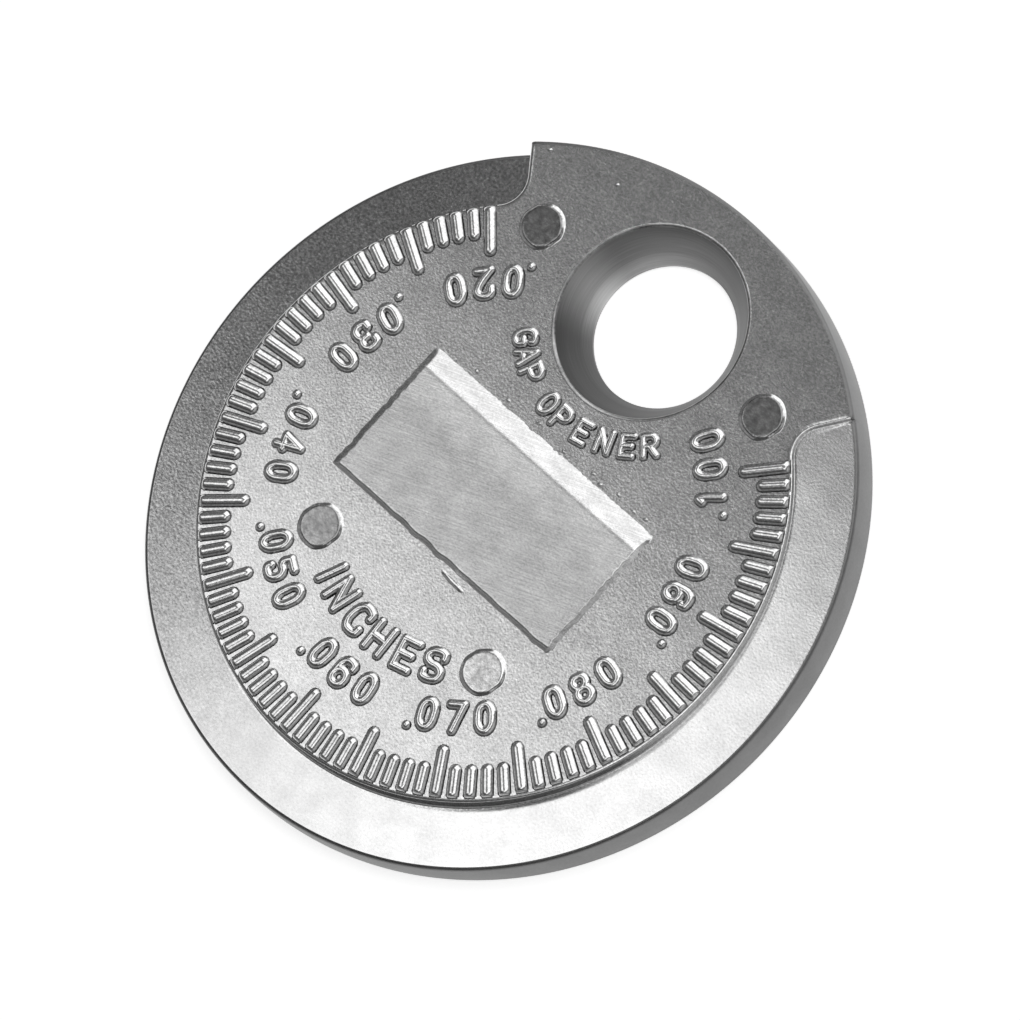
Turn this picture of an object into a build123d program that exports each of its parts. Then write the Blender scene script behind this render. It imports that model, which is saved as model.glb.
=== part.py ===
from build123d import *
from math import cos, radians, sin, tan
import os

# Coin-shaped gauge for spark plug gaps, one zinc die casting, in millimetres.
# The flat back lies on z = 0 and the origin is the coin's centre there.
# The front faces +Z, and the hole for a key ring is on the +Y side.
# Angles are in degrees, counterclockwise from +X as the front is looked at.

# The coin
COIN_RADIUS = 20.0
FACE_HEIGHT = 2.8
OUTER_DRAFT = 1.7
BACK_EDGE_CUT = 0.2
RIM_BEVEL = 0.22

# The scale: the rim is a ramp, as thick at each tick as the gap it measures
INCH = 25.4
FIRST_GAP = 0.020 * INCH
LAST_GAP = 0.100 * INCH
FIRST_LABEL = 20
LABEL_STEP = 10
LABEL_DIGIT_COUNT = 3
TICK_COUNT = 81
TICKS_PER_LONG = 5
SCALE_ANGLE = 270.0
FIRST_TICK_ANGLE = 135.0

# The pocket that is sunk over the ramp, with round inner corners
HUB_RADIUS = 16.4
POCKET_MARGIN = 6.7
POCKET_CORNER_SHARE = 0.444
WALL_DRAFT = 8.0
FACE_EDGE_ROUND = 0.12

# The hole: a cone that opens to the front, with a straight land at the back
HOLE_OFFSET = 12.5
HOLE_FRONT_RADIUS = 5.35
HOLE_BACK_RADIUS = 4.0
HOLE_LAND = 0.4

# Raised marks, each with its root a little below the face
MARK_HEIGHT = 0.2
MARK_SINK = 0.06
RIDGE_ROOT_WIDTH = 0.7
RIDGE_SLOPE = 42.0
RIDGE_END_CUT = 0.2
RIDGE_EDGE_GAP = 0.07
LONG_TICK_RADIUS = 13.45
SHORT_TICK_RADIUS = 14.45

# Numbers and words: width and height between stroke middles, and width of stroke
BEND_SHARE = 0.24
DIGIT_SIZE = (0.86, 1.5, 0.44)
DIGIT_RADIUS = 12.0
DIGIT_PITCH = 7.65
DIGIT_SHIFT = 1.65
DOT_RADIUS = 12.85
DOT_SHIFT = 10.3
DOT_SIZE = 0.3
DOT_SIDES = 8
UNIT_SIZE = (1.0, 1.6, 0.44)
UNIT_RADIUS = 9.4
UNIT_LETTERS = (("I", 244.7), ("N", 253.0), ("C", 263.7), ("H", 273.9), ("E", 285.0), ("S", 295.2))
TOOL_SIZE = (0.72, 1.15, 0.36)
TOOL_RADIUS = 6.9
TOOL_LETTERS = (
    ("G", 225.7),
    ("A", 234.4),
    ("P", 243.2),
    ("O", 259.8),
    ("P", 269.5),
    ("E", 281.5),
    ("N", 292.7),
    ("E", 303.9),
    ("R", 314.0),
)

# The plain raised panel and the marks of the ejector pins
PANEL_SIZE = (16.8, 8.35)
PANEL_CORNER = 0.45
PANEL_HEIGHT = 0.28
PANEL_SLOPE = 40.0
PIN_RADIUS = 1.35
PIN_HEIGHT = 0.14
UPPER_PIN = (8.45, 12.55)
LOWER_PIN = (6.35, -7.05)

# Worked out from the sizes above
FULL_TURN = 360.0
DOWN = 270.0
TICK_PITCH = SCALE_ANGLE / (TICK_COUNT - 1)
RAMP_PER_DEGREE = (LAST_GAP - FIRST_GAP) / SCALE_ANGLE
POCKET_START = FIRST_TICK_ANGLE - POCKET_MARGIN
POCKET_ANGLE = SCALE_ANGLE + 2 * POCKET_MARGIN
POCKET_CORNER = POCKET_CORNER_SHARE * (COIN_RADIUS - HUB_RADIUS)
CUT_PAST = 4.0


# Helpers
def at_angle(angle, radius, height=0.0, middle_y=0.0):
    """A place on a circle, turned so that what stands there has its top inwards."""
    x = radius * cos(radians(angle))
    y = middle_y + radius * sin(radians(angle))
    return Pos(x, y, height) * Rot(0, 0, angle - DOWN)


def raised(outline, height, slope=0.0):
    """An outline drawn up into a mark with sloped sides, rooted in the coin."""
    return Pos(0, 0, -MARK_SINK) * extrude(outline, height + MARK_SINK, taper=slope)


# The coin and its ramp
def blank():
    """The drafted disc that the pocket is cut from, with its back edge broken."""
    face_radius = COIN_RADIUS - (FACE_HEIGHT - BACK_EDGE_CUT) * tan(radians(OUTER_DRAFT))
    section = Polygon(
        (0, 0),
        (COIN_RADIUS - BACK_EDGE_CUT, 0),
        (COIN_RADIUS, BACK_EDGE_CUT),
        (face_radius, FACE_HEIGHT),
        (0, FACE_HEIGHT),
        align=None,
    )
    return revolve(Plane.XZ * section, Axis.Z)


def above_ramp():
    """All that lies above the bevelled ramp: a section carried round a helix."""
    start_height = FIRST_GAP - RAMP_PER_DEGREE * POCKET_MARGIN
    climb = RAMP_PER_DEGREE * POCKET_ANGLE
    path = Helix(RAMP_PER_DEGREE * FULL_TURN, climb, HUB_RADIUS)
    inner, outer = HUB_RADIUS - CUT_PAST, COIN_RADIUS + CUT_PAST
    top = 2 * FACE_HEIGHT
    bevel_start = COIN_RADIUS - RIM_BEVEL
    section = Polygon(
        (inner, 0), (bevel_start, 0), (outer, bevel_start - outer), (outer, top), (inner, top), align=None
    )
    swept = sweep(Plane.XZ * section, path=path, is_frenet=True)
    return Pos(0, 0, start_height) * Rot(0, 0, POCKET_START) * swept


def pocket():
    """The pocket in the rim: its plan at the face, drawn down with draft."""
    outer = COIN_RADIUS + 2 * CUT_PAST
    start, end = radians(POCKET_START), radians(POCKET_START + POCKET_ANGLE)
    corner_start = (HUB_RADIUS * cos(start), HUB_RADIUS * sin(start))
    corner_end = (HUB_RADIUS * cos(end), HUB_RADIUS * sin(end))
    plan = make_face(
        [
            CenterArc((0, 0), HUB_RADIUS, POCKET_START, POCKET_ANGLE),
            Line(corner_end, (outer * cos(end), outer * sin(end))),
            CenterArc((0, 0), outer, POCKET_START, POCKET_ANGLE),
            Line((outer * cos(start), outer * sin(start)), corner_start),
        ]
    )
    inner_corners = [v for v in plan.vertices() if Vector(v.X, v.Y).length < COIN_RADIUS]
    plan = fillet(inner_corners, POCKET_CORNER)
    return extrude(Pos(0, 0, FACE_HEIGHT) * plan, -FACE_HEIGHT, taper=WALL_DRAFT)


def hole():
    """The cone-shaped hole, open past both faces."""
    front, land = HOLE_FRONT_RADIUS, HOLE_BACK_RADIUS
    grow = (front - land) / (FACE_HEIGHT - HOLE_LAND)
    section = Polygon(
        (0, -CUT_PAST),
        (land, -CUT_PAST),
        (land, HOLE_LAND),
        (front + grow * CUT_PAST, FACE_HEIGHT + CUT_PAST),
        (0, FACE_HEIGHT + CUT_PAST),
        align=None,
    )
    return Pos(0, HOLE_OFFSET, 0) * revolve(Plane.XZ * section, Axis.Z)


def coin():
    """The coin with its ramped rim and its hole."""
    body = blank() - (pocket() & above_ramp())
    face_edges = body.edges().group_by(Axis.Z)[-1]
    body = fillet(face_edges, FACE_EDGE_ROUND)
    return body - hole()


# Characters
def cut_bends(points, cut):
    """The points of a line of straight runs, with each bend between them cut off."""
    kept = [Vector(*points[0])]
    for before, bend, after in zip(points, points[1:], points[2:]):
        corner = Vector(*bend)
        kept.append(corner + (Vector(*before) - corner).normalized() * cut)
        kept.append(corner + (Vector(*after) - corner).normalized() * cut)
    return kept + [Vector(*points[-1])]


def bar(points, cut, half):
    """An open stroke as a flat outline: both sides of its line, with square ends."""
    line = cut_bends(points, cut)
    runs = [(after - before).normalized() for before, after in zip(line, line[1:])]
    sides = [Vector(-run.Y, run.X) for run in runs]
    left, right = [], []
    for point, before, after in zip(line, sides[:1] + sides, sides + sides[-1:]):
        step = (before + after) * (half / (1 + before.dot(after)))
        left.append(point + step)
        right.insert(0, point - step)
    return make_face(Polyline(*left, *right, close=True))


def loop(points, cut, half):
    """A closed stroke as a flat outline: what lies between its outer and inner edge."""
    around = cut_bends([points[-1], *points, points[0]], cut)[1:-1]
    outer = offset(make_face(Polyline(*around, close=True)), half, kind=Kind.INTERSECTION)
    inner = offset(make_face(Polyline(*points, close=True)), -half, kind=Kind.INTERSECTION)
    return outer - inner


# Strokes of the characters, in shares of a character's width and height
DIGITS = "0123456789"
STROKES = {
    "0": [(loop, (0, 0), (1, 0), (1, 1), (0, 1))],
    "1": [(bar, (0.2, 0.78), (0.55, 1)), (bar, (0.55, 1), (0.55, 0))],
    "2": [(bar, (0, 0.72), (0, 1), (1, 1), (1, 0.58), (0.08, 0.07)), (bar, (-0.12, 0), (1, 0))],
    "3": [(bar, (0, 0.74), (0, 1), (1, 1), (1, 0), (0, 0), (0, 0.26)), (bar, (0.35, 0.53), (1, 0.53))],
    "4": [(bar, (0.72, 0), (0.72, 1)), (bar, (0.72, 1), (0, 0.3)), (bar, (0, 0.3), (1, 0.3))],
    "5": [
        (bar, (0.95, 1), (0.05, 1)),
        (bar, (0.05, 1), (0.02, 0.57)),
        (bar, (0.02, 0.57), (1, 0.57), (1, 0), (0, 0), (0, 0.2)),
    ],
    "6": [(loop, (0, 0), (1, 0), (1, 0.57), (0, 0.57)), (bar, (0, 0.25), (0, 1), (1, 1), (1, 0.82))],
    "7": [(bar, (0, 1), (1, 1)), (bar, (1, 1), (0.35, 0))],
    "8": [(loop, (0, 0), (1, 0), (1, 0.53), (0, 0.53)), (loop, (0, 0.53), (1, 0.53), (1, 1), (0, 1))],
    "9": [(loop, (0, 0.43), (1, 0.43), (1, 1), (0, 1)), (bar, (1, 0.75), (1, 0), (0, 0), (0, 0.18))],
    "A": [(bar, (0, 0), (0.5, 1)), (bar, (0.5, 1), (1, 0)), (bar, (0.2, 0.32), (0.8, 0.32))],
    "C": [(bar, (1, 0.78), (1, 1), (0, 1), (0, 0), (1, 0), (1, 0.22))],
    "E": [(bar, (0, 0), (0, 1)), (bar, (0, 1), (0.95, 1)), (bar, (0, 0.5), (0.8, 0.5)), (bar, (0, 0), (0.95, 0))],
    "G": [(bar, (1, 0.75), (1, 1), (0, 1), (0, 0), (1, 0), (1, 0.45)), (bar, (1, 0.4), (0.6, 0.4))],
    "H": [(bar, (0, 0), (0, 1)), (bar, (1, 0), (1, 1)), (bar, (0, 0.5), (1, 0.5))],
    "I": [(bar, (0.5, 0), (0.5, 1))],
    "N": [(bar, (0, 0), (0, 1)), (bar, (0, 1), (1, 0)), (bar, (1, 0), (1, 1))],
    "O": [(loop, (0, 0), (1, 0), (1, 1), (0, 1))],
    "P": [(bar, (0, 0), (0, 1)), (bar, (0, 1), (1, 1), (1, 0.45), (0, 0.45))],
    "R": [(bar, (0, 0), (0, 1)), (bar, (0, 1), (1, 1), (1, 0.47), (0, 0.47)), (bar, (0.5, 0.47), (1, 0))],
    "S": [(bar, (1, 0.74), (1, 1), (0, 1), (0, 0.53), (1, 0.47), (1, 0), (0, 0), (0, 0.26))],
}


def character(name, size):
    """A raised character about its own middle."""
    width, height, stroke_width = size
    outline = Sketch()
    for kind, *points in STROKES[name]:
        placed = [((x - 0.5) * width, (y - 0.5) * height) for x, y in points]
        outline += kind(placed, BEND_SHARE * width, stroke_width / 2)
    return raised(outline, MARK_HEIGHT)


# The marks on the face
def ridge(inner_radius):
    """One tick of the scale, lying along +X, with the corners of its inner end cut off."""
    outer_radius = HUB_RADIUS - FACE_EDGE_ROUND - RIDGE_EDGE_GAP
    plan = Pos((inner_radius + outer_radius) / 2, 0) * Rectangle(outer_radius - inner_radius, RIDGE_ROOT_WIDTH)
    inner_corners = plan.vertices().group_by(Axis.X)[0]
    return raised(chamfer(inner_corners, RIDGE_END_CUT), MARK_HEIGHT, RIDGE_SLOPE)


def scale_ticks():
    """All the ticks, with a long one at every fifth."""
    long_tick = ridge(LONG_TICK_RADIUS)
    short_tick = ridge(SHORT_TICK_RADIUS)
    ticks = []
    for count in range(TICK_COUNT):
        tick = short_tick if count % TICKS_PER_LONG else long_tick
        turn = FIRST_TICK_ANGLE + count * TICK_PITCH
        ticks.append(Pos(0, 0, FACE_HEIGHT) * Rot(0, 0, turn) * tick)
    return ticks


def labels():
    """The gap at each long tick in thousandths of an inch, with a point before it."""
    digits = {name: character(name, DIGIT_SIZE) for name in DIGITS}
    point = raised(RegularPolygon(DOT_SIZE, DOT_SIDES), MARK_HEIGHT)
    marks = []
    for count in range(0, TICK_COUNT, LABEL_STEP):
        tick_angle = FIRST_TICK_ANGLE + count * TICK_PITCH
        marks.append(at_angle(tick_angle - DOT_SHIFT, DOT_RADIUS, FACE_HEIGHT) * point)
        for place, name in enumerate(str(FIRST_LABEL + count).zfill(LABEL_DIGIT_COUNT)):
            angle = tick_angle + DIGIT_SHIFT + (place - 1) * DIGIT_PITCH
            marks.append(at_angle(angle, DIGIT_RADIUS, FACE_HEIGHT) * digits[name])
    return marks


def words():
    """The unit in the middle of the scale, and the hole's use written round it."""
    marks = []
    for name, angle in UNIT_LETTERS:
        marks.append(at_angle(angle, UNIT_RADIUS, FACE_HEIGHT) * character(name, UNIT_SIZE))
    for name, angle in TOOL_LETTERS:
        marks.append(at_angle(angle, TOOL_RADIUS, FACE_HEIGHT, HOLE_OFFSET) * character(name, TOOL_SIZE))
    return marks


def pads():
    """The bare panel in the middle and the four round marks of the ejector pins."""
    panel = raised(RectangleRounded(*PANEL_SIZE, PANEL_CORNER), PANEL_HEIGHT, PANEL_SLOPE)
    pin = raised(Circle(PIN_RADIUS), PIN_HEIGHT)
    marks = [Pos(0, 0, FACE_HEIGHT) * panel]
    for x, y in (UPPER_PIN, LOWER_PIN):
        marks.append(Pos(x, y, FACE_HEIGHT) * pin)
        marks.append(Pos(-x, y, FACE_HEIGHT) * pin)
    return marks


def gauge():
    """The whole casting as one solid."""
    return coin() + scale_ticks() + labels() + words() + pads()


if __name__ == "__main__":
    os.makedirs("parts", exist_ok=True)
    export_step(gauge(), "parts/gap_gauge.step")
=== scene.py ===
# %% [markdown]
# # A coin-shaped gap gauge
# The object is one small zinc die casting, 40 mm across. Its rim is a ramp that is as thick at each
# tick as the gap it measures. The packed CAD model is loaded first and gives the frame: every piece
# below is built in the same place and at the same size, in metres, with the back of the coin on z = 0.

# %% Load the frame
import math

import bmesh
import bpy
import numpy as np
from mathutils import Matrix, Vector
from mathutils.geometry import delaunay_2d_cdt


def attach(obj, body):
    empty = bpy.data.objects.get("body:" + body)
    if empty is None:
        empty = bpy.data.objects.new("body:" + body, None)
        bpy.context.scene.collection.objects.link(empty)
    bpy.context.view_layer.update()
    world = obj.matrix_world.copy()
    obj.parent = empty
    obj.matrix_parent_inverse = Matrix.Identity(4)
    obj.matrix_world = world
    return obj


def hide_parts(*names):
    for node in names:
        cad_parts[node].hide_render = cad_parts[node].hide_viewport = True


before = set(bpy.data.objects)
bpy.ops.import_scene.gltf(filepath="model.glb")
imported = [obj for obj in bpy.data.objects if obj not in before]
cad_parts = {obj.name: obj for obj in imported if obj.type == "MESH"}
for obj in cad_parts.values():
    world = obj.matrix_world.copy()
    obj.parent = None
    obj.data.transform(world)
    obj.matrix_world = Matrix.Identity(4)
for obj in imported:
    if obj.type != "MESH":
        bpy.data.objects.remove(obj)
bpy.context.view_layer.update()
MM = 0.001

# %% [markdown]
# The driving sizes repeat those of the CAD source, in millimetres. The hole is on the +Y side and
# angles run counterclockwise from +X. Everything that follows the ramp is worked out from these, so
# the dressed coin and the solid can't drift apart.

# %% Driving sizes
COIN_RADIUS = 20.0
FACE = 2.8
OUTER_DRAFT = 1.7
BACK_ROUND = 0.2
INCH = 25.4
FIRST_GAP = 0.020 * INCH
LAST_GAP = 0.100 * INCH
FIRST_ANGLE = 135.0
SCALE_ANGLE = 270.0
TICK_COUNT = 81
TICK_PITCH = SCALE_ANGLE / (TICK_COUNT - 1)
POCKET_MARGIN = 6.7
HUB_RADIUS = 16.4
POCKET_CORNER_SHARE = 0.444
POCKET_CORNER = POCKET_CORNER_SHARE * (COIN_RADIUS - HUB_RADIUS)
WALL_DRAFT = 8.0
HOLE_MIDDLE = 12.5
HOLE_FRONT = 5.35
HOLE_BACK = 4.0
HOLE_LAND = 0.4


def wall_height(angle):
    """How far the ramp lies below the face at an angle, in millimetres."""
    turn = (angle - 90.0) % 360.0 + 90.0 - FIRST_ANGLE
    return FACE - FIRST_GAP - (LAST_GAP - FIRST_GAP) * turn / SCALE_ANGLE


def along(angle):
    """The unit vector in the plane of the coin at an angle in degrees."""
    return np.array([math.cos(math.radians(angle)), math.sin(math.radians(angle))])


print("wall at the first tick", round(wall_height(FIRST_ANGLE), 3), "mm")
print("wall at the last tick", round(wall_height(FIRST_ANGLE + SCALE_ANGLE - 360.0), 3), "mm")

# %% [markdown]
# Both the finishes and the shapes below are node trees. A tree is a chain of small sums, so this
# helper adds a node and links it in one line, and the code then reads like the sum that it makes.

# %% A helper for node trees


class Nodes:
    """Adds nodes to a tree and links them by what feeds what."""

    def __init__(self, tree):
        self.tree = tree

    def node(self, kind, **settings):
        made = self.tree.nodes.new(kind)
        for label, value in settings.items():
            setattr(made, label, value)
        return made

    def feed(self, socket, value):
        """Links a socket to another, or sets it to a plain value."""
        if isinstance(value, bpy.types.NodeSocket):
            self.tree.links.new(value, socket)
        else:
            socket.default_value = value

    def calc(self, operation, *values):
        """One step of arithmetic."""
        made = self.node("ShaderNodeMath", operation=operation)
        for socket, value in zip(made.inputs, values):
            self.feed(socket, value)
        return made.outputs[0]

    def axes(self, vector):
        """The X, Y and Z of a vector."""
        made = self.node("ShaderNodeSeparateXYZ")
        self.feed(made.inputs[0], vector)
        return made.outputs

    def vector(self, *values):
        """A vector from its X, Y and Z."""
        made = self.node("ShaderNodeCombineXYZ")
        for socket, value in zip(made.inputs, values):
            self.feed(socket, value)
        return made.outputs[0]

    def turned(self, vector, angle):
        """A vector turned about the Z axis, by radians."""
        made = self.node("ShaderNodeVectorRotate", rotation_type="Z_AXIS")
        self.feed(made.inputs["Vector"], vector)
        self.feed(made.inputs["Angle"], angle)
        return made.outputs[0]

    def rise(self, value, start, end, low=0.0, high=1.0, shape="SMOOTHSTEP"):
        """Goes from low to high while the value goes from start to end."""
        made = self.node("ShaderNodeMapRange", interpolation_type=shape)
        labels = ("Value", "From Min", "From Max", "To Min", "To Max")
        for label, given in zip(labels, (value, start, end, low, high)):
            self.feed(made.inputs[label], given)
        return made.outputs["Result"]


def add_sockets(tree, sizes, result, kind):
    """Gives a new tree its named sizes and its result."""
    for label, value in sizes.items():
        socket = tree.interface.new_socket(label, in_out="INPUT", socket_type="NodeSocketFloat")
        socket.default_value = value
    tree.interface.new_socket(result, in_out="OUTPUT", socket_type=kind)
    return tree.nodes.new("NodeGroupInput").outputs, tree.nodes.new("NodeGroupOutput").inputs[result]


print("helper for node trees:", ", ".join(name for name in vars(Nodes) if name.isalpha()))

# %% [markdown]
# ## The metal
# Bare zinc has little colour of its own: what one sees is the room. So a finish of the gauge is mostly
# the shape of its surface, and only partly its tone. Each effect is a shader group with named sizes,
# which every finish can use with its own amounts, and each reads the object's own coordinates in
# metres, so its marks keep their real size. The first two are those of any cast skin: a fine grain on
# a slow waviness, as a bump, and bright and dull specks in the tone.

# %% The cast skin's grain and specks
SWING = 4.0


class Effect(Nodes):
    """A shader node group with named sizes and one result."""

    def __init__(self, name, sizes, result):
        super().__init__(bpy.data.node_groups.new(name, "ShaderNodeTree"))
        self.size, self.result = add_sockets(self.tree, sizes, result, "NodeSocketFloat")
        self.place = self.node("ShaderNodeTexCoord").outputs["Object"]

    def noise(self, size, detail=2.0, place=None):
        """Noise between 0 and 1 whose spots are about as wide as the size."""
        made = self.node("ShaderNodeTexNoise")
        self.feed(made.inputs["Vector"], place or self.place)
        self.feed(made.inputs["Scale"], self.calc("DIVIDE", 1.0, size))
        made.inputs["Detail"].default_value = detail
        return made.outputs["Fac"]

    def swing(self, noise):
        """The same noise about 0, stretched to reach about -1 and 1."""
        return self.calc("MULTIPLY", self.calc("SUBTRACT", noise, 0.5), SWING)

    def between(self, value, low, high):
        return self.calc("MINIMUM", self.calc("MAXIMUM", value, low), high)

    def end(self, value):
        self.feed(self.result, value)
        return self.tree


def grain_group():
    """Height of the cast skin in metres: a fine grain on a slow waviness."""
    sizes = {"Grain": 0.12 * MM, "Grain depth": 4e-6, "Wave": 2.5 * MM, "Wave depth": 8e-6}
    effect = Effect("cast grain", sizes, "Height")
    size = effect.size
    grain = effect.calc("MULTIPLY", effect.noise(size["Grain"], 2.5), size["Grain depth"])
    wave = effect.calc("MULTIPLY", effect.noise(size["Wave"], 1.0), size["Wave depth"])
    return effect.end(effect.calc("ADD", grain, wave))


def speckle_group():
    """Bright and dull specks, as a number about 1 by which the tone is multiplied."""
    sizes = {"Speck": 0.13 * MM, "Contrast": 0.3, "Patch": 1.6 * MM, "Patch contrast": 0.08}
    effect = Effect("cast speckle", sizes, "Share")
    total = 1.0
    for width, contrast in (("Speck", "Contrast"), ("Patch", "Patch contrast")):
        swing = effect.between(effect.swing(effect.noise(effect.size[width])), -1.0, 1.0)
        total = effect.calc("MULTIPLY_ADD", swing, effect.size[contrast], total)
    return effect.end(total)


GRAIN, SPECKLE = grain_group(), speckle_group()
print("effects", GRAIN.name, SPECKLE.name)

# %% [markdown]
# A finish keeps its Principled shader in the material, with what is the same all over set on the
# shader's own sockets, and the groups feed its colour and its bump. Most parts of the gauge differ
# only in how bright and how rough they are, so one function makes all of these from a short table.

# %% The plain cast finishes
SKIN, RIM, SHADED_SIDE, HOLE, PANEL, PIN, MID_PIN, BRIGHT_PIN, RIDGE, EDGE = range(10)


class Finish(Nodes):
    """A bare metal: the shader is in the material, and the groups feed it."""

    def __init__(self, name, roughness):
        self.material = bpy.data.materials.new(name)
        self.material.use_nodes = True
        super().__init__(self.material.node_tree)
        self.shader = self.tree.nodes["Principled BSDF"]
        self.shader.inputs["Metallic"].default_value = 1.0
        self.shader.inputs["Roughness"].default_value = roughness

    def group(self, tree, **values):
        """An effect, with some of its sizes set; grain_depth sets the size named Grain depth."""
        made = self.node("ShaderNodeGroup", node_tree=tree)
        for label, value in values.items():
            self.feed(made.inputs[label.replace("_", " ").capitalize()], value)
        return made.outputs[0]

    def times(self, *shares):
        """All the shares multiplied."""
        total = shares[0]
        for share in shares[1:]:
            total = self.calc("MULTIPLY", total, share)
        return total

    def blend(self, mask, low, high):
        return self.rise(mask, 0.0, 1.0, low, high, "LINEAR")

    def end(self, tone, **grain):
        """Sets the base colour to a grey as bright as the tone, and the bump to the cast grain."""
        grey = self.node("ShaderNodeMix", data_type="RGBA")
        self.feed(grey.inputs["Factor"], tone)
        self.feed(grey.inputs["A"], (0, 0, 0, 1))
        self.feed(grey.inputs["B"], (1, 1, 1, 1))
        self.feed(self.shader.inputs["Base Color"], grey.outputs["Result"])
        bump = self.node("ShaderNodeBump")
        self.feed(bump.inputs["Distance"], 1.0)
        self.feed(bump.inputs["Height"], self.group(GRAIN, **grain))
        self.feed(self.shader.inputs["Normal"], bump.outputs["Normal"])
        return self.material


def cast_finish(name, tone, roughness, specks):
    """A plain cast skin: one grey with its own amounts of specks."""
    finish = Finish(name, roughness)
    return finish.end(finish.times(finish.group(SPECKLE, **specks), tone))


BIG_SPECK = 0.3 * MM
CAST_SKINS = {
    # name, tone, roughness and the sizes of its specks
    SKIN: ("cast skin", 0.72, 0.17, {"contrast": 0.22}),
    # painted shade: the outer wall's tone is set far below the face's; its higher roughness is its own
    SHADED_SIDE: ("cast side", 0.19, 0.4, {"contrast": 0.08}),
    PIN: ("pin mark", 0.27, 0.22, {"contrast": 0.4, "speck": BIG_SPECK, "patch_contrast": 0.2}),
    MID_PIN: ("worn pin mark", 0.42, 0.22, {"contrast": 0.35, "speck": BIG_SPECK}),
    BRIGHT_PIN: ("bright pin mark", 0.72, 0.2, {"contrast": 0.4, "speck": BIG_SPECK}),
    EDGE: ("edge of the hole", 0.36, 0.3, {"contrast": 0.3, "patch_contrast": 0.5}),
}
FINISHES = {finish: cast_finish(*skin) for finish, skin in CAST_SKINS.items()}
print("cast finishes", [material.name for material in FINISHES.values()])

# %% [markdown]
# The ramp is slid into gaps, and use wears it bright, most of all at its thick end. Beside the wall
# runs
# a band whose tone is raised towards -X, a painted highlight. Both are masks from 0 to 1 over the ramp:
# one along X, with its border broken up by noise, and one by the distance from the coin's middle. The
# finish then blends its tone, specks and grain with them, because a worn surface is brighter and
# smoother at once.

# %% The ramp's finish
RAMP_SKIN = ("rim skin", 0.17)
RAMP_TONES = (0.44, 0.705)
RAMP_SPECKS = (0.45, 0.07)
RAMP_GRAINS = (6e-6, 3e-6)
RAMP_SPECK = 0.15 * MM
RAMP_GRAIN = 0.14 * MM
RIGHT_END, RIGHT_GAIN = {"dull_at": -4.0 * MM, "bright_at": 14.0 * MM}, 1.22
LEFT_END, HIGHLIGHT_GAIN = {"dull_at": -9.0 * MM, "bright_at": -17.0 * MM}, 1.5
MOTTLE_SPOT = 1.5 * MM


def wear_group():
    """How far use has rubbed the ramp bright: 0 on the dull thin end, 1 on the thick end."""
    effect = Effect("ramp wear", {"Dull at": -15.0 * MM, "Bright at": 0.0, "Mottle": 0.15}, "Mask")
    size = effect.size
    worn = effect.rise(effect.axes(effect.place)["X"], size["Dull at"], size["Bright at"])
    spots = effect.calc("SUBTRACT", effect.noise(MOTTLE_SPOT, 3.0), 0.5)
    mottled = effect.calc("MULTIPLY_ADD", spots, size["Mottle"], worn)
    return effect.end(effect.between(mottled, 0.0, 1.0))


def highlight_band_group():
    """The band of the ramp beside the wall that gets a painted highlight: 1 there and 0 further out."""
    effect = Effect("bright band", {"Bright to": 16.8 * MM, "Plain from": 17.5 * MM}, "Mask")
    axes = effect.axes(effect.place)
    away = effect.node("ShaderNodeVectorMath", operation="LENGTH")
    effect.feed(away.inputs[0], effect.vector(axes["X"], axes["Y"]))
    size = effect.size
    return effect.end(effect.rise(away.outputs["Value"], size["Plain from"], size["Bright to"]))


def rim_finish():
    """The ramp: dull and grainy at its thin end, rubbed bright at its thick end."""
    finish = Finish(*RAMP_SKIN)
    worn = finish.group(WEAR)
    specks = finish.group(SPECKLE, speck=RAMP_SPECK, contrast=finish.blend(worn, *RAMP_SPECKS))
    right = finish.blend(finish.group(WEAR, **RIGHT_END), 1.0, RIGHT_GAIN)
    tone = finish.times(finish.blend(worn, *RAMP_TONES), right)
    # the band beside the wall is brightened towards -X: a painted highlight
    band = finish.times(finish.group(HIGHLIGHT_BAND), finish.group(WEAR, **LEFT_END))
    shade = finish.times(specks, tone, finish.blend(band, 1.0, HIGHLIGHT_GAIN))
    return finish.end(shade, grain=RAMP_GRAIN, grain_depth=finish.blend(worn, *RAMP_GRAINS))


WEAR, HIGHLIGHT_BAND = wear_group(), highlight_band_group()
FINISHES[RIM] = rim_finish()
print("ramp finish", FINISHES[RIM].name)

# %% [markdown]
# The hole's wall was finished by a turning tool, so fine marks run round it. Its tone is set low, a
# painted shade in the hole, and two of its sides are painted lighter and one darker, as painted light
# and shade.
# The marks are noise that is stretched round the hole, by reading the angle and the height instead of
# X, Y and Z. Each lighter side is a soft hump of tone about one angle, and the darker side is made in
# the same way.

# %% The hole's finish
HOLE_SKIN = ("hole wall", 0.42)
# the hole's low tone is painted shade inside the hole
HOLE_SHADE_TONE = 0.115
HOLE_GRAIN = {"grain_depth": 2e-6, "wave_depth": 4e-6}
# angle, width in degrees, and gain of each painted side: above 0 lighter, below 0 darker
HOLE_PAINTED_SIDES = ((150.0, 95.0, 1.5), (192.0, 34.0, 1.2), (330.0, 95.0, -0.78))
MARKS_ROUND = 1.5


def round_hole(effect):
    """Angle round the hole, and the height above the back."""
    axes = effect.axes(effect.place)
    from_middle = effect.calc("SUBTRACT", axes["Y"], effect.size["Middle"])
    return effect.calc("ARCTAN2", from_middle, axes["X"]), axes["Z"]


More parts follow.
